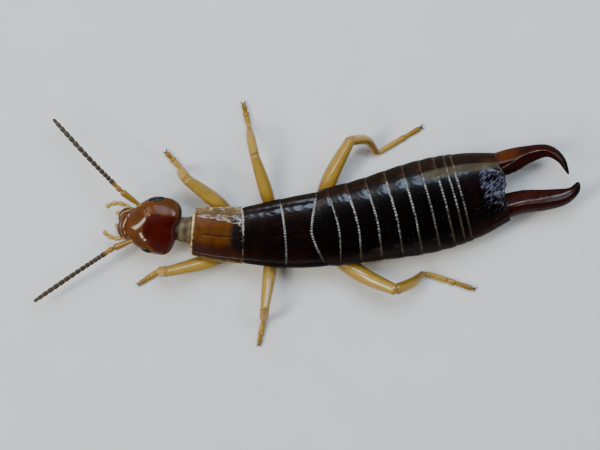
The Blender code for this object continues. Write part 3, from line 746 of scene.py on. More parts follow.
# Back plates of the chest: a thin domed plate, thick in the middle and thin at its margins.
# Pairs are those of the rings; a plate's front and rear bows carry back its corners, by a power of the edge
chestUnderside = 1.46
chest = {
    "around": 220, "stations": 110,
    "underside": ((-6.0, chestUnderside), (2.0, chestUnderside)), "undersideRoundness": 1.25,
    "freeFront": (
        (0.00, "front", 0.06, 0.0, 0.20), (0.04, "front", 0.0, 0.0, 0.075),
        (0.09, "front", 0.03, 0.0, 0.035),
    ),
    "tuckedFront": (
        (0.00, "front", -0.16, 0.0, 0.20), (0.04, "front", -0.08, 0.0, 0.075),
        (0.09, "front", -0.02, 0.0, 0.035),
    ),
    "outline": (
        (0.15, "front", 0.09, 0.0, 0.026), (0.24, "front", 0.28, 0.0, 0.018),
        (0.50, "front", 0.0, 0.55, 0.003), (0.74, "rear", -0.18, 0.0, 0.002),
        (0.81, "rear", -0.09, 0.0, 0.013), (0.87, "rear", -0.045, 0.0, 0.004),
        (0.92, "rear", -0.01, 0.0, 0.008), (0.96, "rear", 0.02, 0.0, 0.04), (1.00, "rear", -0.01, 0.0, 0.22),
    ),
    "frontPart": (0.35, 0.0), "rearPart": (0.3, 1.0),
    "above": (1.62, 1.80), "upperFrom": 1.6,
    "groove": (0.0, 0.026), "grooveAlong": (0.10, 0.25), "grooveEnd": (0.95, 0.80), "grooveDepth": 0.020,
    "gutterEdge": (0.83, 0.055), "raisedEdge": (0.86, 1.0),
    "shoulderEdge": (0.76, 0.13),
    "wrinkleHeight": 0.0045, "wrinkleSize": 0.19, "wrinkleRate": 0.6, "wrinkleSeed": 31,
    "plates": {
        "pronotum": {
            "start": -5.74, "end": -3.10, "raisedSide": 0.05, "gutter": 0.05,
            "frontBow": 0.16, "frontPower": 8.0, "rearBow": -0.12, "rearPower": 5.0,
        },
        "mesonotum": {
            "start": -3.10, "end": -1.02, "raisedSide": 0.02, "gutter": 0.03,
            "frontBow": 0.05, "frontPower": 6.0, "rearBow": -0.14, "rearPower": 2.5,
        },
        "metanotum": {
            "start": -1.02, "end": 0.29, "raisedSide": 0.02, "gutter": 0.03,
            "frontBow": -0.08, "frontPower": 2.5, "rearBow": 0.52, "rearPower": 1.3,
        },
    },
}
pronotum = {
    # shallow basins on both sides of the groove and low swellings in front of them: height, edge, along
    "swellings": ((-0.020, (0.25, 0.16), (0.66, 0.16)), (0.025, (0.35, 0.30), (0.30, 0.22))),
    # a wavy keel on the right, from the front corner inwards to the rear margin, and folds outside it
    "keel": ((0, 0.70), (0.20, 0.67), (0.60, 0.57), (0.80, 0.49), (1.0, 0.38)),
    "keelWidth": 0.026, "keelStart": (0.03, 0.15), "keelHeight": 0.012,
    "keelWander": 0.025, "keelWanderSize": 0.28, "keelSeed": 33, "outsideWidth": 0.08,
    "foldHeight": 0.010, "foldSize": 0.16, "foldRate": 0.5, "foldSeed": 35,
    # the pale margins, partly painted highlights: the side and rear rims are paler on the right, where the
    # light falls, and the pale spot at the right rear corner is a painted highlight
    "frontRim": (0.016, 0.026), "frontRimEdge": (1.0, 0.86),
    "sideRimEdge": (0.985, 0.035), "sideRimSide": (-0.5, 0.5), "sideRimLeft": 0.32, "sideRimHighlightGain": 0.25,
    "rimMean": 0.82, "rimRipple": 0.30, "rimRippleSize": 0.25, "rimSeed": 37,
    "rearRim": (-0.050, 0.085), "rearRimHighlightSide": (-0.35, 0.20), "rearRimStrength": 0.66,
    "cornerHighlight": (0.62, 0.16), "cornerHighlightAlong": (0.74, 0.90), "cornerHighlightStrength": 0.60,
    # the keel's paleness, the flanges' pale gold, partly translucent amber and partly a painted golden
    # highlight, the red of the left side and the black of the rear
    "keelStrength": 0.72,
    "rightFlange": (0.84, 0.92), "rightFlangeStrength": 0.25, "foldStrength": 0.62,
    "leftFlange": (0.84, 0.91), "leftFlangeStrength": 0.55,
    "leftSide": (0.05, 0.55), "leftSideStrength": 0.85, "rearAlong": (0.50, 0.85), "rearStrength": 0.35,
    "darkAlong": (0.62, 0.88), "darkSide": (-0.80, -0.25), "darkEdge": (0.62, 0.85), "darkEdgeFade": 0.8,
    "groove": 0.9,
}
darkPlates = {
    "margin": (-0.035, 0.060), "marginHighlightSide": (-0.9, 0.3), "marginLeast": 0.35,
    "marginEdge": (0.8, 0.9), "marginEdgeFade": 0.7, "hem": 0.6,
    "flankEdge": (0.84, 0.92), "flankLitSide": (-0.3, 0.3), "flankLeast": 0.3,
    "mattEdge": (0.82, 0.92), "red": 0.35, "redEdge": (0.2, 0.8), "redGain": 0.4,
    "underHeight": (1.60, 1.52),
}


def makeChestPlates():
    angle = turnsRound(chest["around"])
    for name, plate in chest["plates"].items():
        start, end = plate["start"], plate["end"]
        first = name == "pronotum"
        front = chest["freeFront" if first else "tuckedFront"]
        x, inset, t = outlineAt(front + chest["outline"], start, end, chest["stations"])
        rows, share, height = bodyRows(x, angle, inset, chest["underside"], chest["undersideRoundness"])
        edge = np.abs(share)
        frontShift = plate["frontBow"] * smoothStep(*chest["frontPart"], t) * edge ** plate["frontPower"]
        rearShift = plate["rearBow"] * smoothStep(*chest["rearPart"], t) * edge ** plate["rearPower"]
        rows = movedBack(rows, x, frontShift + rearShift)
        above = smoothStep(*chest["above"], height)
        groove = bell(share, *chest["groove"]) * smoothStep(*chest["grooveAlong"], t)
        groove = groove * smoothStep(*chest["grooveEnd"], t)
        # the side flange: a gutter where it starts, and an upturned rim outside it
        lift = (-chest["grooveDepth"] * groove - plate["gutter"] * bell(edge, *chest["gutterEdge"])) * above
        rim = plate["raisedSide"] * smoothStep(*chest["raisedEdge"], edge)
        lift = lift + rim * (height > chest["upperFrom"])
        if first:
            for rise, across, along in pronotum["swellings"]:
                lift = lift + rise * bell(edge, *across) * bell(t, *along) * above
        shoulder = bell(edge, *chest["shoulderEdge"]) * above
        wrinkles = ripple(rows, chest["wrinkleSize"], chest["wrinkleSeed"], chest["wrinkleRate"])
        lift = lift + chest["wrinkleHeight"] * wrinkles * shoulder
        if first:
            keel, outside = pronotumKeel(t, rows, share, above)
            folds = ripple(rows, pronotum["foldSize"], pronotum["foldSeed"], pronotum["foldRate"])
            lift = lift + pronotum["keelHeight"] * keel + pronotum["foldHeight"] * folds * outside
            rows = raised(rows, lift)
            marks = pronotumMarks(x - end, t, rows, share, above, groove, keel, outside)
            finish, slot = shades["amberShell"], "amber_shell"
        else:
            rows = raised(rows, lift)
            marks = darkPlateMarks(x - end, t, share, height)
            finish, slot = shades["darkShell"], "dark_shell"
        marks["crease"] = shoulder
        addPiece(name + "Plate", rows, finish, [name], marks)


# the keel's crest, a bell across a line that wanders, and the folded strip outside it
def pronotumKeel(t, rows, share, above):
    wander = ripple(rows, pronotum["keelWanderSize"], pronotum["keelSeed"])
    keelAt = smoothCurve(pronotum["keel"], t[:, 0])[:, None] + pronotum["keelWander"] * wander
    keel = bell(share, keelAt, pronotum["keelWidth"]) * smoothStep(*pronotum["keelStart"], t) * above
    return keel, smoothStep(keelAt, keelAt + pronotum["outsideWidth"], share) * above


def pronotumMarks(fromEnd, t, rows, share, above, groove, keel, outside):
    look = pronotum
    edge = np.abs(share)
    frontRim = bell(t, *look["frontRim"]) * smoothStep(*look["frontRimEdge"], edge)
    sideRim = look["sideRimLeft"] + look["sideRimHighlightGain"] * smoothStep(*look["sideRimSide"], share)
    sideRim = sideRim * bell(edge, *look["sideRimEdge"])
    wander = look["rimMean"] + look["rimRipple"] * ripple(rows, look["rimRippleSize"], look["rimSeed"])
    rearRim = bell(fromEnd, *look["rearRim"])[:, None] * smoothStep(*look["rearRimHighlightSide"], share)
    cornerHighlight = bell(share, *look["cornerHighlight"]) * smoothStep(*look["cornerHighlightAlong"], t)
    pale = np.maximum(look["rearRimStrength"] * rearRim, look["cornerHighlightStrength"] * cornerHighlight)
    rightFlange = look["rightFlangeStrength"] * smoothStep(*look["rightFlange"], share)
    leftFlange = look["leftFlangeStrength"] * smoothStep(*look["leftFlange"], edge)
    side = look["leftSideStrength"] * smoothStep(*look["leftSide"], -share)
    side = side + look["rearStrength"] * smoothStep(*look["rearAlong"], t)
    dark = smoothStep(*look["darkAlong"], t) * smoothStep(*look["darkSide"], share)
    return {
        "margin": np.clip(np.maximum(frontRim, sideRim), 0, 1) * wander,
        "rear": pale * above,
        "groove": look["groove"] * groove * above,
        "keel": look["keelStrength"] * keel,
        "flange": np.where(share > 0, look["foldStrength"] * outside + rightFlange, leftFlange),
        "side": np.clip(side, 0, 1),
        "dark": dark * (1 - look["darkEdgeFade"] * smoothStep(*look["darkEdge"], edge)),
    }


# the dark back plates: a pale rear margin that is partly a painted highlight, brighter towards the right, and
# brown flanks painted lighter on the right, where the light falls
def darkPlateMarks(fromEnd, t, share, height):
    look = darkPlates
    edge = np.abs(share)
    rim = bell(fromEnd, *look["margin"])[:, None]
    sides = smoothStep(*look["marginEdge"], edge)
    bright = atLeast(look["marginLeast"], smoothStep(*look["marginHighlightSide"], share))
    rightHand = atLeast(look["flankLeast"], smoothStep(*look["flankLitSide"], share))
    return {
        "margin": rim * bright * (1 - look["marginEdgeFade"] * sides),
        "hem": look["hem"] * rim * (1 - sides),
        "paintedBlueSheen": noMark, "glint": 0.0, "paintedGoldSheen": 0.0,
        "flank": smoothStep(*look["flankEdge"], edge) * rightHand,
        "red": look["red"] + look["redGain"] * smoothStep(*look["redEdge"], edge) * (1 - t),
        "matt": smoothStep(*look["mattEdge"], edge),
        "under": smoothStep(*look["underHeight"], height),
    }


chestBlocks = {
    "prothorax": {"start": -5.38, "end": -3.33, "halfWidth": 0.76},
    "mesothorax": {"start": -3.22, "end": -1.18, "halfWidth": 1.00},
    "metathorax": {"start": -1.07, "end": 1.12, "halfWidth": 1.14},
}
chestBlock = {
    "around": 120, "stations": 50, "rounds": (0.10, 0.10), "endSize": 0.86, "roundness": 2.8,
    "underPlate": 0.01,
    "below": (0.0, 0.3),
    "furrow": (0.0, 0.05), "furrowDepth": 0.04, "furrowPaleness": 0.7, "marginWidth": 0.06,
    "foldHeight": 0.018, "foldRate": 9, "foldAt": 0.75, "foldWidth": 0.2,
    "unevenness": 0.005, "unevenSize": 0.25, "unevenSeed": 41,
}


# the underside of the chest: one superellipse block to each plate, with a lengthwise furrow and folded flanks
def makeChestBlocks():
    angle = turnsRound(chestBlock["around"])
    power = 2 / chestBlock["roundness"]
    for name, block in chestBlocks.items():
        shares, opening = roundedStations(chestBlock["stations"], *chestBlock["rounds"])
        x = block["start"] + (block["end"] - block["start"]) * shares
        roof = chestUnderside - chestBlock["underPlate"]
        floor = smoothCurve(body["belly"], x)
        middle = ((roof + floor) / 2)[:, None]
        halfHeight = ((roof - floor) / 2)[:, None]
        closing = atLeast(chestBlock["endSize"], opening)[:, None]
        across = block["halfWidth"] * closing * signedPower(np.cos(angle), power)
        height = middle + halfHeight * closing * signedPower(np.sin(angle), power)
        rows = acrossAxis(x, across, height)
        below = smoothStep(*chestBlock["below"], middle - height)
        furrow = bell(across, *chestBlock["furrow"]) * below
        flanks = bell(np.abs(across), block["halfWidth"] * chestBlock["foldAt"], chestBlock["foldWidth"])
        folds = chestBlock["foldHeight"] * np.sin(x[:, None] * chestBlock["foldRate"]) * flanks * below
        uneven = chestBlock["unevenness"] * ripple(rows, chestBlock["unevenSize"], chestBlock["unevenSeed"])
        rows = raised(rows, chestBlock["furrowDepth"] * furrow + folds + uneven)
        ends = bell(shares, 0.0, chestBlock["marginWidth"]) + bell(shares, 1.0, chestBlock["marginWidth"])
        marks = {"margin": ends[:, None] + chestBlock["furrowPaleness"] * furrow}
        addPiece(name + "Block", rows, shades["bellyShell"], [name], marks)


# the soft skin that joins the plates: one folded sleeve from inside the head to inside the abdomen
softSleeve = {
    "halfWidth": (
        (-7.0, 0.50), (-6.5, 0.58), (-6.0, 0.66), (-5.6, 0.72),
        (-5.2, 0.66), (-3.3, 0.86), (-1.1, 1.10), (1.6, 1.20),
    ),
    "top": ((-7.0, 1.78), (-6.3, 1.74), (-5.75, 1.72), (-5.2, 1.82), (-3.1, 2.02), (1.6, 2.2)),
    "bottom": ((-7.0, 1.02), (-6.3, 0.92), (-5.75, 0.86), (-5.2, 0.92), (-3.1, 0.84), (1.6, 0.80)),
    "start": -6.95, "end": 1.5, "stations": 420, "around": 96,
    "foldLength": 0.42, "foldDepth": 0.050, "pleats": 7, "pleatDepth": 0.014, "pleatAt": (-6.1, 0.40),
    "foldShade": 0.40, "pleatShade": 0.15, "meanShade": 0.45,
    # how the folds lean round the sleeve, how they come and go, and how the pleats bend
    "lean": (0.9, 0.6), "secondLean": 0.3, "comeAndGo": (0.55, 0.45), "fadeRate": 2.3, "pleatRate": 2.2,
}


# an oval tube whose size waves along it: rings of folds that lean and fade out, and pleats along the neck
def makeSoftSkin():
    angle = turnsRound(softSleeve["around"])
    x = np.linspace(softSleeve["start"], softSleeve["end"], softSleeve["stations"])
    along = x[:, None]
    halfWidth = smoothCurve(softSleeve["halfWidth"], x)[:, None]
    top = smoothCurve(softSleeve["top"], x)[:, None]
    bottom = smoothCurve(softSleeve["bottom"], x)[:, None]
    most, phase = softSleeve["lean"]
    lean = most * np.sin(angle + phase) + softSleeve["secondLean"] * np.sin(3 * angle)
    fold = np.sin(along * 2 * np.pi / softSleeve["foldLength"] + lean)
    mean, change = softSleeve["comeAndGo"]
    fold = fold * (mean + change * np.sin(softSleeve["fadeRate"] * along + 2 * angle))
    pleat = np.sin(softSleeve["pleats"] * angle + softSleeve["pleatRate"] * along + np.sin(3 * along))
    pleat = pleat * bell(along, *softSleeve["pleatAt"])
    size = 1 + softSleeve["foldDepth"] * fold + softSleeve["pleatDepth"] * pleat
    height = (top + bottom) / 2 + (top - bottom) / 2 * np.sin(angle) * size
    rows = acrossAxis(x, halfWidth * np.cos(angle) * size, height)
    shade = softSleeve["meanShade"] - softSleeve["foldShade"] * fold - softSleeve["pleatShade"] * pleat
    addPiece("softSkin", rows, shades["softSkin"], ["neck"], {"fold": shade})


makeAbdomen()
makeChestPlates()
makeChestBlocks()
makeSoftSkin()
print("body made")

# The head, in its own frame: forward, to the animal's right, and up

head = {
    "centre": np.array((-7.60, 0.05, 1.52)),
    "turn": math.radians(7), "rearSkew": 0.13,
    "widest": -0.33, "front": 1.50, "rear": -1.27,
    "halfWidth": 1.46, "crown": 0.62, "chin": 0.56, "frontTaper": 0.40,
    "rows": 150, "around": 200, "poleGap": 0.05, "frontRoundness": 2.6, "rearRoundness": 3,
    "notchDepth": 0.18, "notchHalfWidth": 0.34,
    "faceShift": -0.13, "faceFrom": (0.2, 1.4),  # the face points a little to the left
    "above": (0.15, 0.40),
    "suture": ((-1.15, 0.0), (-0.30, 0.0), (0.30, 0.55), (0.72, 0.98)),
    "sutureWidth": 0.035, "sutureDepth": 0.007,
    # swellings: height, centre and width forward, centre and width to the side
    "brow": (0.05, (0.55, 0.45), (0, 0.55)), "temples": (0.05, (-0.65, 0.5), (0.62, 0.42)),
    "midlineDepth": 0.035, "midlineWidth": 0.20, "midlineFrom": (-0.35, -1.0),
    # the deep red cap: round in front, ending short of the right flank and running down over the left one
    "capFront": (0.60, 0.46), "capBow": 0.55, "capMiddle": -0.10,
    "capRight": (0.86, 0.48), "capLeft": (-0.9, -1.3), "capLeftFade": 0.35,
    "rimRear": (-1.00, -1.25), "rimRearStrength": 0.75, "rimSide": (0.0, 0.12), "rimSideStrength": 0.45,
    "mattFront": (0.45, 0.05), "mattRight": (0.05, 0.35), "mattRear": (-1.0, -0.7),
    "sutureStrength": 0.35,
}


# places in the head's frame, as places on the model
def fromHead(forward, right, height):
    forward, right, height = np.broadcast_arrays(forward, right, height)
    ahead = np.array((-math.cos(head["turn"]), math.sin(head["turn"]), 0.0))
    beside = np.array((math.sin(head["turn"]), math.cos(head["turn"]), 0.0))
    return head["centre"] + ahead * forward[..., None] + beside * right[..., None] + up * height[..., None]


# a route given for the right side, in the head's frame, as places on the model; -1 mirrors it to the left
def mirroredRoute(route, sign, shift):
    return [fromHead(*np.array((forward, sign * right + shift, height))) for forward, right, height in route]


# least distance in plan from each point to a line through a few points
def distanceToLine(forward, right, line):
    nearest = np.full(np.shape(forward), np.inf)
    for (f0, r0), (f1, r1) in zip(line, line[1:]):
        long = math.hypot(f1 - f0, r1 - r0)
        share = np.clip(((forward - f0) * (f1 - f0) + (right - r0) * (r1 - r0)) / long**2, 0, 1)
        gap = np.hypot(forward - f0 - share * (f1 - f0), right - r0 - share * (r1 - r0))
        nearest = np.minimum(nearest, gap)
    return nearest


# the capsule: a ball with a narrow front, a blunt rear and a notch for the neck,
# with a swollen brow and temples, and a suture that forks towards the eyes
def makeHeadCapsule():
    along = np.cos(np.linspace(head["poleGap"], np.pi - head["poleGap"], head["rows"]))[:, None]
    angle = turnsRound(head["around"])
    radius = np.sqrt(1 - along**2)
    length = np.where(along > 0, head["front"] - head["widest"], head["widest"] - head["rear"])
    forward = head["widest"] + along * length
    blunt = superRing(along, head["rearRoundness"]) / radius
    square = superRing(along, head["frontRoundness"]) / radius
    breadth = np.where(along > 0, square * (1 - head["frontTaper"] * along**2), blunt)
    right = radius * np.cos(angle) * breadth * head["halfWidth"]
    lift = radius * np.sin(angle) * breadth
    height = lift * np.where(lift > 0, head["crown"], head["chin"])
    behind = np.where(along < 0, along**2, 0.0)
    forward = forward + head["notchDepth"] * bell(right, 0, head["notchHalfWidth"]) * behind
    forward = forward - head["rearSkew"] * right * behind
    right = right + head["faceShift"] * smoothStep(*head["faceFrom"], forward)
    above = smoothStep(*head["above"], height)
    groove = bell(distanceToLine(forward, np.abs(right), head["suture"]), 0, head["sutureWidth"]) * above
    for swelling, sideways in (("brow", right), ("temples", np.abs(right))):
        rise, ahead, across = head[swelling]
        height = height + rise * bell(forward, *ahead) * bell(sideways, *across) * above
    midline = bell(right, 0, head["midlineWidth"]) * smoothStep(*head["midlineFrom"], forward) * above
    height = height - head["midlineDepth"] * midline - head["sutureDepth"] * groove
    cap = smoothStep(*head["capFront"], forward + head["capBow"] * (right - head["capMiddle"]) ** 2)
    cap = cap * smoothStep(*head["capRight"], right)
    rim = head["rimRearStrength"] * smoothStep(*head["rimRear"], forward)
    matt = smoothStep(*head["mattFront"], forward) * smoothStep(*head["mattRight"], right)
    marks = {
        "deep": cap * (1 - head["capLeftFade"] * smoothStep(*head["capLeft"], right)),
        "rim": rim + head["rimSideStrength"] * bell(height, *head["rimSide"]),
        "groove": head["sutureStrength"] * groove,
        "matt": matt * smoothStep(*head["mattRear"], forward),
    }
    rows = fromHead(forward, right, height)
    addPiece("headCapsule", rows, shades["headShell"], ["head"], marks)


# the height of a superellipse over each place between -1 and 1
def superRing(along, roundness):
    return (1 - np.abs(along) ** roundness) ** (1 / roundness)


# a rounded lump: an ellipsoid with its own roundness, in the head's frame, turned about its own upright
def headLump(centre, radii, roundness, turn, count):
    poleGap = 0.08
    along = np.cos(np.linspace(poleGap, np.pi - poleGap, count[0]))[:, None]
    angle = turnsRound(count[1])
    radius = superRing(along, roundness)
    f = along * radii[0] + 0 * angle
    r = radius * np.cos(angle) * radii[1]
    forward = centre[0] + f * math.cos(turn) - r * math.sin(turn)
    right = centre[1] + f * math.sin(turn) + r * math.cos(turn)
    return forward, right, centre[2] + radius * np.sin(angle) * radii[2]


# lumps: centre and radii as forward, right and up in the head's frame
face = {
    "clypeus": {
        "centre": (1.22, -0.13, -0.03), "radii": (0.46, 0.72, 0.27), "rim": (1.54, 0.04), "rimStrength": 0.35,
    },
    "labrum": {
        "centre": (1.46, -0.15, -0.12), "radii": (0.33, 0.58, 0.17), "rim": (1.64, 1.76), "rimStrength": 0.15,
        "sides": (0.5, 0.12), "sideStrength": 0.4,
    },
    "roundness": 2.4, "count": (40, 56),
    "eyes": {
        "Right": ((0.03, 1.27, 0.02), (0.50, 0.20, 0.27)), "Left": ((0.22, 1.22, 0.04), (0.36, 0.20, 0.26)),
    },
    "eyeTurn": -0.25, "eyeRoundness": 2.0, "eyeCount": (36, 48),
    "mandible": {
        "route": ((0.95, 0.58, -0.22), (1.36, 0.62, -0.28), (1.66, 0.42, -0.33), (1.78, 0.06, -0.36)),
        "shift": -0.12, "stations": 40, "around": 32, "rounds": (0.12, 0.05),
        "size": ((0, 0.26), (0.5, 0.19), (0.8, 0.12), (1, 0.05)), "flatness": 0.62,
        "teethHeight": 0.25, "teethRate": 34, "teethFrom": (0.55, 0.7), "teethWidth": 0.8,
        "tip": (0.7, 0.95),
    },
}


def makeFace():
    plate = face["clypeus"]
    f, r, h = headLump(plate["centre"], plate["radii"], face["roundness"], 0.0, face["count"])
    marks = {"rim": plate["rimStrength"] * bell(f, *plate["rim"])}
    addPiece("clypeus", fromHead(f, r, h), shades["headShell"], (), marks)
    plate = face["labrum"]
    f, r, h = headLump(plate["centre"], plate["radii"], face["roundness"], 0.0, face["count"])
    sides = bell(np.abs(r - plate["centre"][1]), *plate["sides"])
    rim = smoothStep(*plate["rim"], f)
    marks = {"margin": plate["rimStrength"] * rim, "side": plate["sideStrength"] * sides}
    addPiece("labrumPlate", fromHead(f, r, h), shades["amberShell"], ["labrum"], marks)
    for side, sign in (("Right", 1), ("Left", -1)):
        node = side.lower()
        (forward, right, height), radii = face["eyes"][side]
        centre = (forward, sign * right, height)
        lump = headLump(centre, radii, face["eyeRoundness"], sign * face["eyeTurn"], face["eyeCount"])
        addPiece("eye" + side, fromHead(*lump), shades["eyeShell"], ["eye_" + node])
        jaw = face["mandible"]
        shares, opening = roundedStations(jaw["stations"], *jaw["rounds"])
        path = pathAt(mirroredRoute(jaw["route"], sign, jaw["shift"]), shares)
        size = smoothCurve(jaw["size"], shares) * opening
        teeth = np.maximum(0, np.sin(shares * jaw["teethRate"])) * smoothStep(*jaw["teethFrom"], shares)
        innerEdge = bell(turnsRound(jaw["around"]), np.pi, jaw["teethWidth"])
        lift = jaw["teethHeight"] * teeth[:, None] * innerEdge
        beside = fromHead(0, 1, 0) - fromHead(0, 0, 0)
        rows = sweep(path, size, size * jaw["flatness"], beside, jaw["around"], lift)
        marks = {"rim": smoothStep(*jaw["tip"], shares)[:, None]}
        addPiece("mandible" + side, rows, shades["headShell"], ["mandible_" + node], marks)


jointShape = {"startSize": 0.80, "swell": (0.0, 0.75), "startNeck": (0.0, 0.16), "endNeck": (1.0, 0.93)}


# a limb made of several short joints: its half-width swells to the far end of each joint and is pinched
# between them; it comes with how far each point lies along its own joint, and that joint's number
def jointedProfile(shares, joints, pinch):
    places = np.concatenate([[0.0], np.cumsum(joints)]) / np.sum(joints)
    number = np.clip(np.searchsorted(places, shares, side="right") - 1, 0, len(joints) - 1)
    local = (shares - places[number]) / (places[number + 1] - places[number])
    swell = atLeast(jointShape["startSize"], smoothStep(*jointShape["swell"], local))
    neck = np.minimum(smoothStep(*jointShape["startNeck"], local), smoothStep(*jointShape["endNeck"], local))
    return swell * (1 - pinch * (1 - neck)), local, number


# bells over the two ends of something whose length runs from 0 to 1, each with its own width
def bothEnds(along, startWidth, endWidth):
    return np.maximum(bell(along, 0.0, startWidth), bell(along, 1.0, endWidth))[:, None]


# each path: where the feeler starts, where its first joint ends, its middle and its tip
feelers = {
    "paths": {
        "Right": ((-8.30, 1.08, 1.62), (-9.20, 1.83, 1.85), (-10.90, 3.60, 1.75), (-12.58, 5.36, 1.20)),
        "Left": ((-8.54, -0.65, 1.62), (-9.62, -1.04, 1.85), (-11.60, -2.38, 1.75), (-13.70, -3.92, 1.20)),
    },
    "scape": ((0, 0.62), (0.12, 0.72), (0.2, 0.60), (0.5, 0.85), (0.88, 1.0), (1, 0.9)), "scapeSize": 0.18,
    "scapeStations": 50, "scapeAround": 40, "scapeRounds": (0.10, 0.08), "rootShare": 0.15,
    "scapeJoint": ((1.0, 1.0, 0.07), (0.6, 0.14, 0.05)), "scapeCore": 0.75,  # joint: share, place and width
    "joints": (
        0.30, 0.55, 0.22, 0.24, 0.27, 0.30, 0.32, 0.34, 0.35, 0.36, 0.36, 0.36, 0.35, 0.34, 0.32, 0.30,
    ),
    "slimness": ((0, 1.12), (0.06, 1.0), (0.3, 0.92), (0.8, 0.92), (0.97, 0.72), (1, 0.35)),
    "thickness": 0.138, "pinch": 0.28, "stationsPerJoint": 14, "around": 28, "clearance": 0.005,
    "paleStart": 0.10, "paleEnd": 0.07, "base": (0.16, 0.05),
}


def makeFeelers():
    for side, places in feelers["paths"].items():
        base, bend, middle, tip = (np.array(place) for place in places)
        node = f"antenna_{side.lower()}_"
        beside = unit(np.cross(tip - base, up))
        shares, opening = roundedStations(feelers["scapeStations"], *feelers["scapeRounds"])
        path = pathAt([base + (base - bend) * feelers["rootShare"], (base + bend) / 2, bend], shares)
        size = smoothCurve(feelers["scape"], shares) * opening * feelers["scapeSize"]
        rows = sweep(path, size, size, beside, feelers["scapeAround"])
        joint = sum(part * bell(shares, *place) for part, *place in feelers["scapeJoint"])
        marks = {"joint": joint[:, None], "core": feelers["scapeCore"]}
        addPiece("scape" + side, rows, shades["legShell"], [node + "scape"], marks)
        shares = np.linspace(0.0, 1.0, len(feelers["joints"]) * feelers["stationsPerJoint"])
        profile, local, _ = jointedProfile(shares, feelers["joints"], feelers["pinch"])
        size = profile * smoothCurve(feelers["slimness"], shares) * feelers["thickness"]
        path = pathAt([bend + (middle - bend) * feelers["clearance"], middle, tip], shares)
        rows = sweep(path, size, size, beside, feelers["around"])
        marks = {
            "joint": bothEnds(local, feelers["paleStart"], feelers["paleEnd"]),
            "base": smoothStep(*feelers["base"], shares)[:, None],
        }
        addPiece("flagellum" + side, rows, shades["feelerShell"], [node + "flagellum"], marks)


# each route in the head's frame, for the right side
palps = {
    "maxillary": {
        "route": (
            (1.05, 0.62, -0.22), (1.50, 0.82, -0.34), (1.90, 0.90, -0.40),
            (2.25, 0.80, -0.44), (2.52, 0.60, -0.46),
        ),
        "joints": (0.22, 0.24, 0.42, 0.40, 0.46), "thickness": 0.125,
    },
    "labial": {
        "route": ((1.05, 0.24, -0.40), (1.40, 0.32, -0.62), (1.70, 0.36, -0.76), (2.00, 0.30, -0.82)),
        "joints": (0.25, 0.34, 0.40), "thickness": 0.11,
    },
}
palpShape = {
    "shift": -0.08, "pinch": 0.45, "stationsPerJoint": 14, "around": 24,
    "tipEnd": 1.003, "tipLength": 0.06, "paleStart": 0.12, "paleEnd": 0.10, "joint": 0.7, "core": 0.2,
}


# a tip that closes as a square root does, over its length, up to where it ends
def closedTip(shares, tipEnd, tipLength):
    return np.sqrt(np.clip((tipEnd - shares) / tipLength, 0, 1))


def makePalps():
    shape = palpShape
    for kind, palp in palps.items():
        for side, sign in (("Right", 1), ("Left", -1)):
            shares = np.linspace(0, 1, shape["stationsPerJoint"] * len(palp["joints"]))
            profile, local, _ = jointedProfile(shares, palp["joints"], shape["pinch"])
            size = profile * closedTip(shares, shape["tipEnd"], shape["tipLength"]) * palp["thickness"]
            path = pathAt(mirroredRoute(palp["route"], sign, shape["shift"]), shares)
            rows = sweep(path, size, size, np.array((0.0, 1.0, 0.0)), shape["around"])
            joint = shape["joint"] * bothEnds(local, shape["paleStart"], shape["paleEnd"])
            marks = {"joint": joint, "core": shape["core"]}
            node = f"palp_{kind}_{side.lower()}"
            addPiece(f"{kind}Palp{side}", rows, shades["legShell"], [node], marks)


makeHeadCapsule()
makeFace()
makeFeelers()
makePalps()
print("head made")

# Legs: the CAD name of each, its hip, knee, heel and toe tip, the greatest half-width of its thigh,
# the thigh's bow sideways and how far the shin arches

legs = {
    "frontRight": {
        "node": "leg_front_right", "hip": (-3.80, 0.48, 0.66), "knee": (-6.00, 2.45, 1.75),
        "heel": (-6.28, 2.66, 0.26), "toe": (-7.04, 3.51), "thick": 0.39, "bow": 0.0, "arch": 0.10,
    },
    "frontLeft": {
        "node": "leg_front_left", "hip": (-3.72, -1.56, 0.66), "knee": (-7.00, -2.28, 1.75),
        "heel": (-7.38, -2.50, 0.26), "toe": (-8.49, -3.26), "thick": 0.40, "bow": -0.10, "arch": 0.10,
    },
    "middleRight": {
        "node": "leg_middle_right", "hip": (-1.74, 0.62, 0.60), "knee": (-2.60, 3.66, 1.66),
        "heel": (-2.87, 4.78, 0.26), "toe": (-3.15, 5.96), "thick": 0.35, "bow": 0.0, "arch": 0.12,
    },
    "middleLeft": {
        "node": "leg_middle_left", "hip": (-1.70, -1.35, 0.60), "knee": (-2.10, -4.25, 1.64),
        "heel": (-2.16, -5.08, 0.26), "toe": (-2.41, -6.40), "thick": 0.345, "bow": 0.0, "arch": 0.12,
    },
    "hindRight": {
        "node": "leg_hind_right", "hip": (0.66, 1.06, 0.58), "knee": (2.20, 4.48, 1.95),
        "heel": (3.53, 3.45, 0.26), "toe": (5.83, 4.82), "thick": 0.40, "bow": -0.06, "arch": 0.32,
    },
    "hindLeft": {
        "node": "leg_hind_left", "hip": (1.20, -1.50, 0.58), "knee": (4.52, -3.20, 1.95),
        "heel": (5.92, -2.66, 0.26), "toe": (8.58, -3.54), "thick": 0.44, "bow": 0.22, "arch": 0.10,
    },
}
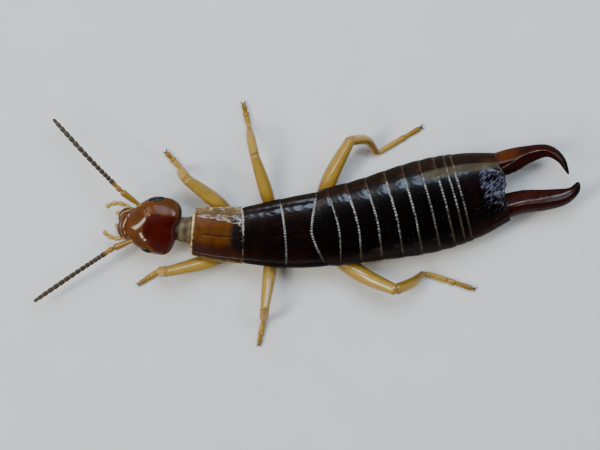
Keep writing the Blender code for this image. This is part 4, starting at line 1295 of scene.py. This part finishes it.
# rounds are the shares of a length in which its two ends round off, and joints are the widths of the pale
# bands there
legShape = {
    "coxa": ((0, 0.44), (0.6, 0.42), (0.9, 0.34), (1, 0.28)),
    "coxaStations": 30, "coxaAround": 48, "coxaRounds": (0.12, 0.30), "coxaJoints": (0.05, 0.16),
    "coxaCore": 0.6, "rootAhead": 0.1, "rootInward": 0.5, "rootHeight": 0.32,
    "trochanterShare": 0.62, "trochanterExtra": 0.03, "trochanterBefore": 0.16, "trochanterAfter": 0.26,
    "trochanterStations": 16, "trochanterAround": 40, "trochanterRounds": (0.4, 0.4),
    "trochanterJoints": (0.1, 0.2), "trochanterCore": 0.5,
    "femur": (
        (0, 0.55), (0.08, 0.76), (0.22, 0.96), (0.40, 1.0),
        (0.68, 0.87), (0.88, 0.72), (0.95, 0.67), (1, 0.62),
    ),
    "femurStations": 70, "femurAround": 64, "femurRounds": (0.05, 0.045), "femurJoints": (0.06, 0.055),
    "femurFlatness": 0.96, "sag": 0.16, "pastKnee": 0.05,
    "keelHeight": 0.05, "keelTurns": (1.25 * np.pi, 1.75 * np.pi), "keelWidth": 0.22, "keelFrom": (0.1, 0.3),
    "cheekHeight": 0.03, "cheekAt": (0.955, 0.03),
    "femurCore": (0.12, 0.20), "femurCoreLeast": 0.30, "femurCoreGain": 0.40,
    "tibia": ((0, 0.94), (0.10, 1.0), (0.35, 1.0), (0.60, 0.92), (0.85, 0.72), (0.96, 0.66), (1, 0.60)),
    "tibiaSize": 0.68,  # as a share of the thigh's
    "tibiaStations": 50, "tibiaAround": 48, "tibiaRounds": (0.06, 0.07), "tibiaJoints": (0.10, 0.09),
    "tibiaFlatness": 0.92, "insideKnee": 0.10, "tibiaMatt": (0.70, 0.90),
    "tibiaCore": (0.3, 1.0), "tibiaCoreLeast": 0.35, "tibiaCoreGain": 0.3,
    "jointStrength": 0.65, "flankShadeStrength": 0.40,
}


# a limb's pale joints at its two ends and its brown core, which painted shade darkens towards its two flanks,
# as translucent amber looks from above
def limbMarks(shares, around, joints, core):
    flank = legShape["flankShadeStrength"] * np.abs(np.cos(turnsRound(around))) ** 3
    core = np.broadcast_to(core, shares.shape)[:, None]
    return {"joint": legShape["jointStrength"] * bothEnds(shares, *joints), "core": core + flank}


# coxa, trochanter, femur and tibia, each an oval carried along its path
def makeLimb(name, leg, hip, knee, heel):
    shape, shell, node, thick = legShape, shades["legShell"], leg["node"], leg["thick"]
    beside = unit(np.cross(knee - hip, up))
    axisY = float(smoothCurve(body["axis"], hip[0]))
    inward = axisY + (hip[1] - axisY) * shape["rootInward"]
    root = np.array((hip[0] - shape["rootAhead"], inward, hip[2] + shape["rootHeight"]))
    shares, opening = roundedStations(shape["coxaStations"], *shape["coxaRounds"])
    size = smoothCurve(shape["coxa"], shares) * opening
    rows = sweep(pathAt([root, hip], shares), size, size, beside, shape["coxaAround"])
    marks = limbMarks(shares, shape["coxaAround"], shape["coxaJoints"], shape["coxaCore"])
    addPiece(name + "Coxa", rows, shell, [node + "_coxa"], marks)

    # the small ring between hip and thigh
    ahead = unit(knee - hip)
    shares, opening = roundedStations(shape["trochanterStations"], *shape["trochanterRounds"])
    size = (shape["trochanterShare"] * thick + shape["trochanterExtra"]) * opening
    ends = [hip - ahead * shape["trochanterBefore"], hip + ahead * shape["trochanterAfter"]]
    rows = sweep(pathAt(ends, shares), size, size, beside, shape["trochanterAround"])
    marks = limbMarks(shares, shape["trochanterAround"], shape["trochanterJoints"], shape["trochanterCore"])
    addPiece(name + "Trochanter", rows, shell, (), marks)

    # the thigh has two low keels below and cheeks on both sides of the knee
    middle = (hip + knee) / 2 - up * shape["sag"] + beside * leg["bow"]
    angle = turnsRound(shape["femurAround"])
    shares, opening = roundedStations(shape["femurStations"], *shape["femurRounds"])
    size = smoothCurve(shape["femur"], shares) * opening * thick
    keel = shape["keelHeight"] * sum(bell(angle, turn, shape["keelWidth"]) for turn in shape["keelTurns"])
    keel = keel * smoothStep(*shape["keelFrom"], shares)[:, None]
    cheek = shape["cheekHeight"] * bell(shares, *shape["cheekAt"])[:, None] * np.cos(angle) ** 2
    path = pathAt([hip, middle, knee + unit(knee - middle) * shape["pastKnee"]], shares)
    rows = sweep(path, size, size * shape["femurFlatness"], beside, shape["femurAround"], keel + cheek)
    core = shape["femurCoreLeast"] + shape["femurCoreGain"] * bell(shares, *shape["femurCore"])
    marks = limbMarks(shares, shape["femurAround"], shape["femurJoints"], core)
    addPiece(name + "Femur", rows, shell, [node + "_femur"], marks)

    # the shin starts inside the knee and arches away from the thigh; a steep one is duller
    out = unit(np.cross(np.cross(knee - hip, up), heel - knee))
    out = out * np.sign(out @ (knee - hip))
    shares, opening = roundedStations(shape["tibiaStations"], *shape["tibiaRounds"])
    size = smoothCurve(shape["tibia"], shares) * opening * shape["tibiaSize"] * thick
    inside = knee - unit(knee - middle) * shape["insideKnee"]
    path = pathAt([inside, (knee + heel) / 2 + out * leg["arch"], heel], shares)
    rows = sweep(path, size, size * shape["tibiaFlatness"], beside, shape["tibiaAround"])
    core = shape["tibiaCoreLeast"] + shape["tibiaCoreGain"] * smoothStep(*shape["tibiaCore"], shares)
    marks = limbMarks(shares, shape["tibiaAround"], shape["tibiaJoints"], core)
    steepness = abs(heel[2] - knee[2]) / np.linalg.norm(heel - knee)
    marks["matt"] = smoothStep(*shape["tibiaMatt"], steepness)
    addPiece(name + "Tibia", rows, shell, [node + "_tibia"], marks)


foot = {
    "joints": (0.44, 0.14, 0.34), "widths": np.array((1.0, 1.10, 0.90)), "size": 0.150, "flatness": 0.92,
    "end": 0.94, "pinch": 0.26, "stations": 90, "around": 36, "tipEnd": 1.004, "tipLength": 0.05,
    "leastHeight": 0.05, "heelHeight": 0.14, "heelFrom": (0.20, 0.0),
    "paleStart": 0.10, "paleEnd": 0.08, "joint": 0.7, "matt": 0.6,
    "core": (0.2, 1.0), "coreLeast": 0.35, "coreGain": 0.50,
}
claw = {
    "length": 0.26, "spread": 0.45, "endSpread": 1.25, "rootBack": 0.03, "rootRise": 0.03,
    "archHeight": 0.14, "middleShare": 0.55, "middleRise": 0.02, "tipHeight": 0.012,
    "size": ((0, 0.055), (0.3, 0.045), (0.8, 0.02), (1, 0.008)),
    "stations": 16, "around": 12, "rounds": (0.10, 0.05),
}


# the foot of three joints, whose underside lies on the ground
def makeFoot(name, leg, heelGround, toe):
    forward = unit(toe - heelGround)
    beside = unit(np.cross(toe - heelGround, up))
    shares = np.linspace(0.0, 1.0, foot["stations"])
    profile, local, number = jointedProfile(shares, foot["joints"], foot["pinch"])
    size = profile * closedTip(shares, foot["tipEnd"], foot["tipLength"]) * foot["size"]
    path = pathAt([heelGround, heelGround + (toe - heelGround) * foot["end"]], shares)
    lifted = foot["heelHeight"] * smoothStep(*foot["heelFrom"], shares)
    path[:, 2] = np.maximum(size * foot["flatness"], foot["leastHeight"]) + lifted
    rows = sweep(path, size * foot["widths"][number], size * foot["flatness"], beside, foot["around"])
    core = foot["coreLeast"] + foot["coreGain"] * smoothStep(*foot["core"], shares)
    marks = {
        "joint": foot["joint"] * bothEnds(local, foot["paleStart"], foot["paleEnd"]),
        "core": core[:, None],
        "matt": foot["matt"],
    }
    rows = aboveGround(rows)
    addPiece(name + "Foot", rows, shades["legShell"], [leg["node"] + "_foot"], marks)
    makeClaws(name, path[-1] - forward * claw["rootBack"], forward, beside)


# two claws that part from the foot's tip and curve down to the ground
def makeClaws(name, tip, forward, beside):
    onGround = tip * np.array((1, 1, 0))
    for side, sign in (("Outer", 1), ("Inner", -1)):
        spread = beside * sign * claw["spread"]
        reach = unit(forward + spread) * claw["length"] * claw["middleShare"]
        middle = onGround + up * claw["archHeight"] + reach + up * claw["middleRise"]
        reach = unit(forward + spread * claw["endSpread"]) * claw["length"]
        end = onGround + reach + up * claw["tipHeight"]
        shares, opening = roundedStations(claw["stations"], *claw["rounds"])
        size = smoothCurve(claw["size"], shares) * opening
        path = pathAt([tip + up * claw["rootRise"], middle, end], shares)
        rows = sweep(path, size, size, beside, claw["around"])
        addPiece(name + "Claw" + side, aboveGround(rows), shades["clawShell"])


# points under the ground, put on it
def aboveGround(rows):
    rows[..., 2] = np.maximum(rows[..., 2], 0.0)
    return rows


for legName, leg in legs.items():
    hip, knee, heel = (np.array(leg[part]) for part in ("hip", "knee", "heel"))
    makeLimb(legName, leg, hip, knee, heel)
    makeFoot(legName, leg, np.array((heel[0], heel[1], 0.0)), np.array((*leg["toe"], 0.0)))
print("legs made")

# The tail: two forceps and the small plate between them

forceps = {
    "Right": {
        "node": "forceps_right",
        "path": (
            (9.20, 2.98, 1.50), (10.11, 3.30, 1.48), (11.00, 3.62, 1.46),
            (11.94, 3.80, 1.48), (12.62, 3.40, 1.54), (13.03, 2.64, 1.60),
        ),
        "width": ((0, 0.64), (0.22, 0.60), (0.42, 0.43), (0.62, 0.30), (0.82, 0.20), (0.95, 0.10), (1, 0.03)),
        "inner": -1, "glow": 1.0,
        "ridge": (
            (0, 0.42), (0.17, 0.20), (0.36, -0.12), (0.51, -0.18), (0.66, 0.04), (0.82, 0.15), (1, 0.0),
        ),
    },
    "Left": {
        "node": "forceps_left",
        "path": (
            (9.75, 0.96, 1.50), (10.78, 1.22, 1.48), (11.90, 1.32, 1.46),
            (12.80, 1.49, 1.48), (13.32, 1.80, 1.54), (13.54, 2.26, 1.60),
        ),
        "width": ((0, 0.64), (0.28, 0.57), (0.55, 0.46), (0.75, 0.30), (0.90, 0.20), (0.97, 0.11), (1, 0.03)),
        "inner": 1, "glow": 0.35,
        "ridge": ((0, 0.25), (0.25, 0.30), (0.50, 0.48), (0.70, 0.58), (0.85, 0.50), (1, 0.3)),
    },
}
blade = {
    "around": 96, "stations": 140, "rounds": (0.03, 0.012), "flatness": 0.80,
    "topRoundness": ((0, 1.7), (0.15, 1.30), (0.6, 1.30), (0.9, 1.6), (1, 2.0)), "bottomRoundness": 2.1,
    "lean": 0.12,
    "ridgeWidth": 0.070, "ridgeHeight": 0.022, "ridgeStart": (0.03, 0.10), "ridgeEnd": (0.95, 0.75),
    "toothHeight": 0.016, "teethRate": 95,
    "teethAlong": (0.26, 0.14), "teethEdge": (1.0, 0.16), "teethBand": (0, 0.35),
    "roughness": 0.006, "roughSize": 0.16, "roughSeed": 51, "roughAlong": (0.03, 0.06),
    "ridgeHighlightStrength": 0.8, "tip": (0.60, 0.98), "base": (0.0, 0.07), "baseStrength": 0.9,
    "glow": (0.16, 0.18), "glowSide": (-0.1, 0.3),
}


# a blade: a superellipse round its path, sharper than an ellipse on top so that a ridge runs along it,
# with a row of small blunt teeth on its inner edge near the base
def makeForceps():
    angle = turnsRound(blade["around"])
    for side, half in forceps.items():
        shares, opening = roundedStations(blade["stations"], *blade["rounds"])
        along = shares[:, None]
        path = pathAt([np.array(place) for place in half["path"]], shares)
        right = unit(np.cross(up, unit(np.gradient(path, axis=0))))
        size = (smoothCurve(half["width"], shares) * opening)[:, None]
        topPower = 2 / smoothCurve(blade["topRoundness"], shares)[:, None]
        power = np.where(np.sin(angle) > 0, topPower, 2 / blade["bottomRoundness"])
        sideways = signedPower(np.cos(angle), power)
        across = sideways - blade["lean"] * half["inner"] * np.maximum(0, np.sin(angle)) ** 2
        ridgeAt = smoothCurve(half["ridge"], shares)[:, None]
        ridge = bell(sideways * half["inner"], ridgeAt, blade["ridgeWidth"]) * (np.sin(angle) > 0)
        ridge = ridge * smoothStep(*blade["ridgeStart"], along)
        height = signedPower(np.sin(angle), power) * blade["flatness"]
        innerEdge = bell(across * half["inner"], *blade["teethEdge"]) * bell(height, *blade["teethBand"])
        teeth = np.maximum(0, np.sin(along * blade["teethRate"])) * bell(along, *blade["teethAlong"])
        teeth = teeth * innerEdge
        across = across * size + blade["toothHeight"] * teeth * half["inner"]
        height = height * size + blade["ridgeHeight"] * ridge
        rows = raised(path[:, None] + right[:, None] * across[..., None], height)
        uneven = ripple(rows, blade["roughSize"], blade["roughSeed"]) * bell(along, *blade["roughAlong"])
        rows = raised(rows, blade["roughness"] * uneven)
        rightSide = smoothStep(*blade["glowSide"], np.cos(angle))
        marks = {
            # the ridge's pale line is a painted highlight
            "ridge": blade["ridgeHighlightStrength"] * ridge * smoothStep(*blade["ridgeEnd"], along),
            "tip": smoothStep(*blade["tip"], along),
            "base": blade["baseStrength"] * bell(along, *blade["base"]),
            "glow": half["glow"] * bell(along, *blade["glow"]) * rightSide,
        }
        addPiece("forceps" + side, rows, shades["forcepsShell"], [half["node"]], marks)


pygidium = {
    "ends": ((9.48, 1.96, 1.30), (9.98, 2.10, 1.26)), "size": ((0, 0.24), (0.6, 0.24), (1, 0.16)),
    "stations": 24, "around": 40, "rounds": (0.35, 0.45), "heightShare": 1.2, "red": 0.8, "flank": 0.5,
}


def makePygidium():
    shares, opening = roundedStations(pygidium["stations"], *pygidium["rounds"])
    path = pathAt([np.array(place) for place in pygidium["ends"]], shares)
    size = smoothCurve(pygidium["size"], shares) * opening
    rows = sweep(path, size, size * pygidium["heightShare"], np.array((0.0, 1.0, 0.0)), pygidium["around"])
    marks = {"red": pygidium["red"], "flank": pygidium["flank"]}
    addPiece("pygidium_plate", rows, shades["darkShell"], ["pygidium"], marks)


makeForceps()
makePygidium()
print("tail made")

# The stage: a plain pale floor, soft lights and the photograph's view

stage = {
    "floorHalfSize": 400.0, "floorColour": (0.88, 0.86, 0.83), "floorTones": (0.94, 1.06),
    "floorPatchSize": 3.0, "floorDetail": 6.0, "floorRoughness": 0.75,
    "cameraTilt": math.radians(11), "cameraDistance": 140.0, "target": (-0.325, 0.0, 1.2),
    "fieldWidth": 30.0, "sensor": 36.0, "seenFrom": 1.0, "seenTo": 5000.0,
    # the room: its brightness near the horizon and overhead, the sines of the heights between which that
    # changes, and how much brighter its +Y side is
    "roomColour": (0.92, 0.96, 1.0), "horizon": 0.46, "overhead": 0.015, "fade": (0.25, 0.80),
    "sideGain": 0.45,
    # each light's two ends as bearings from +X and heights (degrees), its width (degrees), its distance,
    # radiance and colour
    "lights": {
        "skyPanel": ((114, 54), (76, 54), 23, 200, 10.5, (0.60, 0.76, 1.0)),
        "warmPanel": ((140, 48), (122, 50), 22, 200, 2.5, (1.0, 0.86, 0.68)),
        "tailPanel": ((18, 42), (72, 50), 14, 200, 6.5, (0.70, 0.84, 1.0)),
        "frontWindow": ((196, 35), (148, 61), 10, 200, 14.0, (1.0, 0.97, 0.86)),
        "lowWindow": ((218, 43), (236, 40), 5, 200, 15.0, (1.0, 0.97, 0.88)),
    },
}


def makeFloor():
    material = bpy.data.materials.new("paleFloor")
    material.use_nodes = True
    tree = material.node_tree
    shader = tree.nodes["Principled BSDF"]
    shader.inputs["Roughness"].default_value = stage["floorRoughness"]
    place = addNode(tree, "ShaderNodeTexCoord", (-900, 0))
    noise = addNode(tree, "ShaderNodeTexNoise", (-700, 0))
    noise.inputs["Scale"].default_value = 1 / (stage["floorPatchSize"] * mm)
    noise.inputs["Detail"].default_value = stage["floorDetail"]
    tree.links.new(place.outputs["Object"], noise.inputs["Vector"])
    mix = addNode(tree, "ShaderNodeMix", (-400, 0), data_type="RGBA")
    for socket, tone in zip("AB", stage["floorTones"]):
        mix.inputs[socket].default_value = (*(tone * part for part in stage["floorColour"]), 1.0)
    tree.links.new(noise.outputs["Fac"], mix.inputs["Factor"])
    tree.links.new(mix.outputs["Result"], shader.inputs["Base Color"])
    half = stage["floorHalfSize"] * mm
    mesh = bpy.data.meshes.new("floor")
    corners = [(-half, -half, 0), (half, -half, 0), (half, half, 0), (-half, half, 0)]
    mesh.from_pydata(corners, [], [(0, 1, 2, 3)])
    mesh.materials.append(material)
    floor = bpy.data.objects.new("floor", mesh)
    bpy.context.scene.collection.objects.link(floor)


def directionTo(bearing, elevation):
    a, b = math.radians(bearing), math.radians(elevation)
    return Vector((math.cos(a) * math.cos(b), math.sin(a) * math.cos(b), math.sin(b)))


# a flat light that faces the animal and reaches from one direction to another;
# its power is radiance times pi times its area
def addLight(name, first, second, width, distance, radiance, colour):
    start, end = directionTo(*first), directionTo(*second)
    far = distance * mm
    light = bpy.data.lights.new(name, "AREA")
    light.shape = "RECTANGLE"
    light.size = 2 * far * math.tan(start.angle(end) / 2)
    light.size_y = 2 * far * math.tan(math.radians(width / 2))
    light.energy = radiance * math.pi * light.size * light.size_y
    light.color = colour
    lamp = bpy.data.objects.new(name, light)
    back = (start + end).normalized()
    along = (end - start).normalized()
    turned = Matrix((along, back.cross(along), back)).transposed()
    lamp.matrix_world = Matrix.Translation(back * far) @ turned.to_4x4()
    bpy.context.scene.collection.objects.link(lamp)


# the room's brightness falls from the horizon to straight above, and rises towards +Y
def makeLights():
    world = bpy.data.worlds.new("studio")
    world.use_nodes = True
    tree = world.node_tree
    background = tree.nodes["Background"]
    background.inputs["Color"].default_value = (*stage["roomColour"], 1.0)
    place = addNode(tree, "ShaderNodeTexCoord", (-900, 0))
    split = addNode(tree, "ShaderNodeSeparateXYZ", (-700, 0))
    tree.links.new(place.outputs["Generated"], split.inputs[0])
    fall = addNode(tree, "ShaderNodeMapRange", (-500, 0), interpolation_type="SMOOTHSTEP")
    fall.inputs["From Min"].default_value = stage["fade"][0]
    fall.inputs["From Max"].default_value = stage["fade"][1]
    fall.inputs["To Min"].default_value = stage["horizon"]
    fall.inputs["To Max"].default_value = stage["overhead"]
    tree.links.new(split.outputs["Z"], fall.inputs["Value"])
    gain = addNode(tree, "ShaderNodeMath", (-500, -300), operation="MULTIPLY_ADD")
    gain.inputs[1].default_value = stage["sideGain"]
    gain.inputs[2].default_value = 1.0
    tree.links.new(split.outputs["Y"], gain.inputs[0])
    strength = addNode(tree, "ShaderNodeMath", (-250, 0), operation="MULTIPLY")
    tree.links.new(fall.outputs["Result"], strength.inputs[0])
    tree.links.new(gain.outputs[0], strength.inputs[1])
    tree.links.new(strength.outputs[0], background.inputs["Strength"])
    bpy.context.scene.world = world
    for name, settings in stage["lights"].items():
        addLight(name, *settings)


def makeCamera():
    data = bpy.data.cameras.new("camera")
    data.sensor_width = stage["sensor"]
    data.lens = stage["sensor"] * stage["cameraDistance"] / stage["fieldWidth"]
    data.clip_start = stage["seenFrom"] * mm
    data.clip_end = stage["seenTo"] * mm
    camera = bpy.data.objects.new("camera", data)
    tilt = stage["cameraTilt"]
    direction = Vector((0, math.sin(tilt), math.cos(tilt)))
    camera.location = (Vector(stage["target"]) + direction * stage["cameraDistance"]) * mm
    camera.rotation_euler = (-tilt, 0, 0)
    bpy.context.scene.collection.objects.link(camera)
    bpy.context.scene.camera = camera


makeFloor()
makeLights()
makeCamera()
print("stage made")
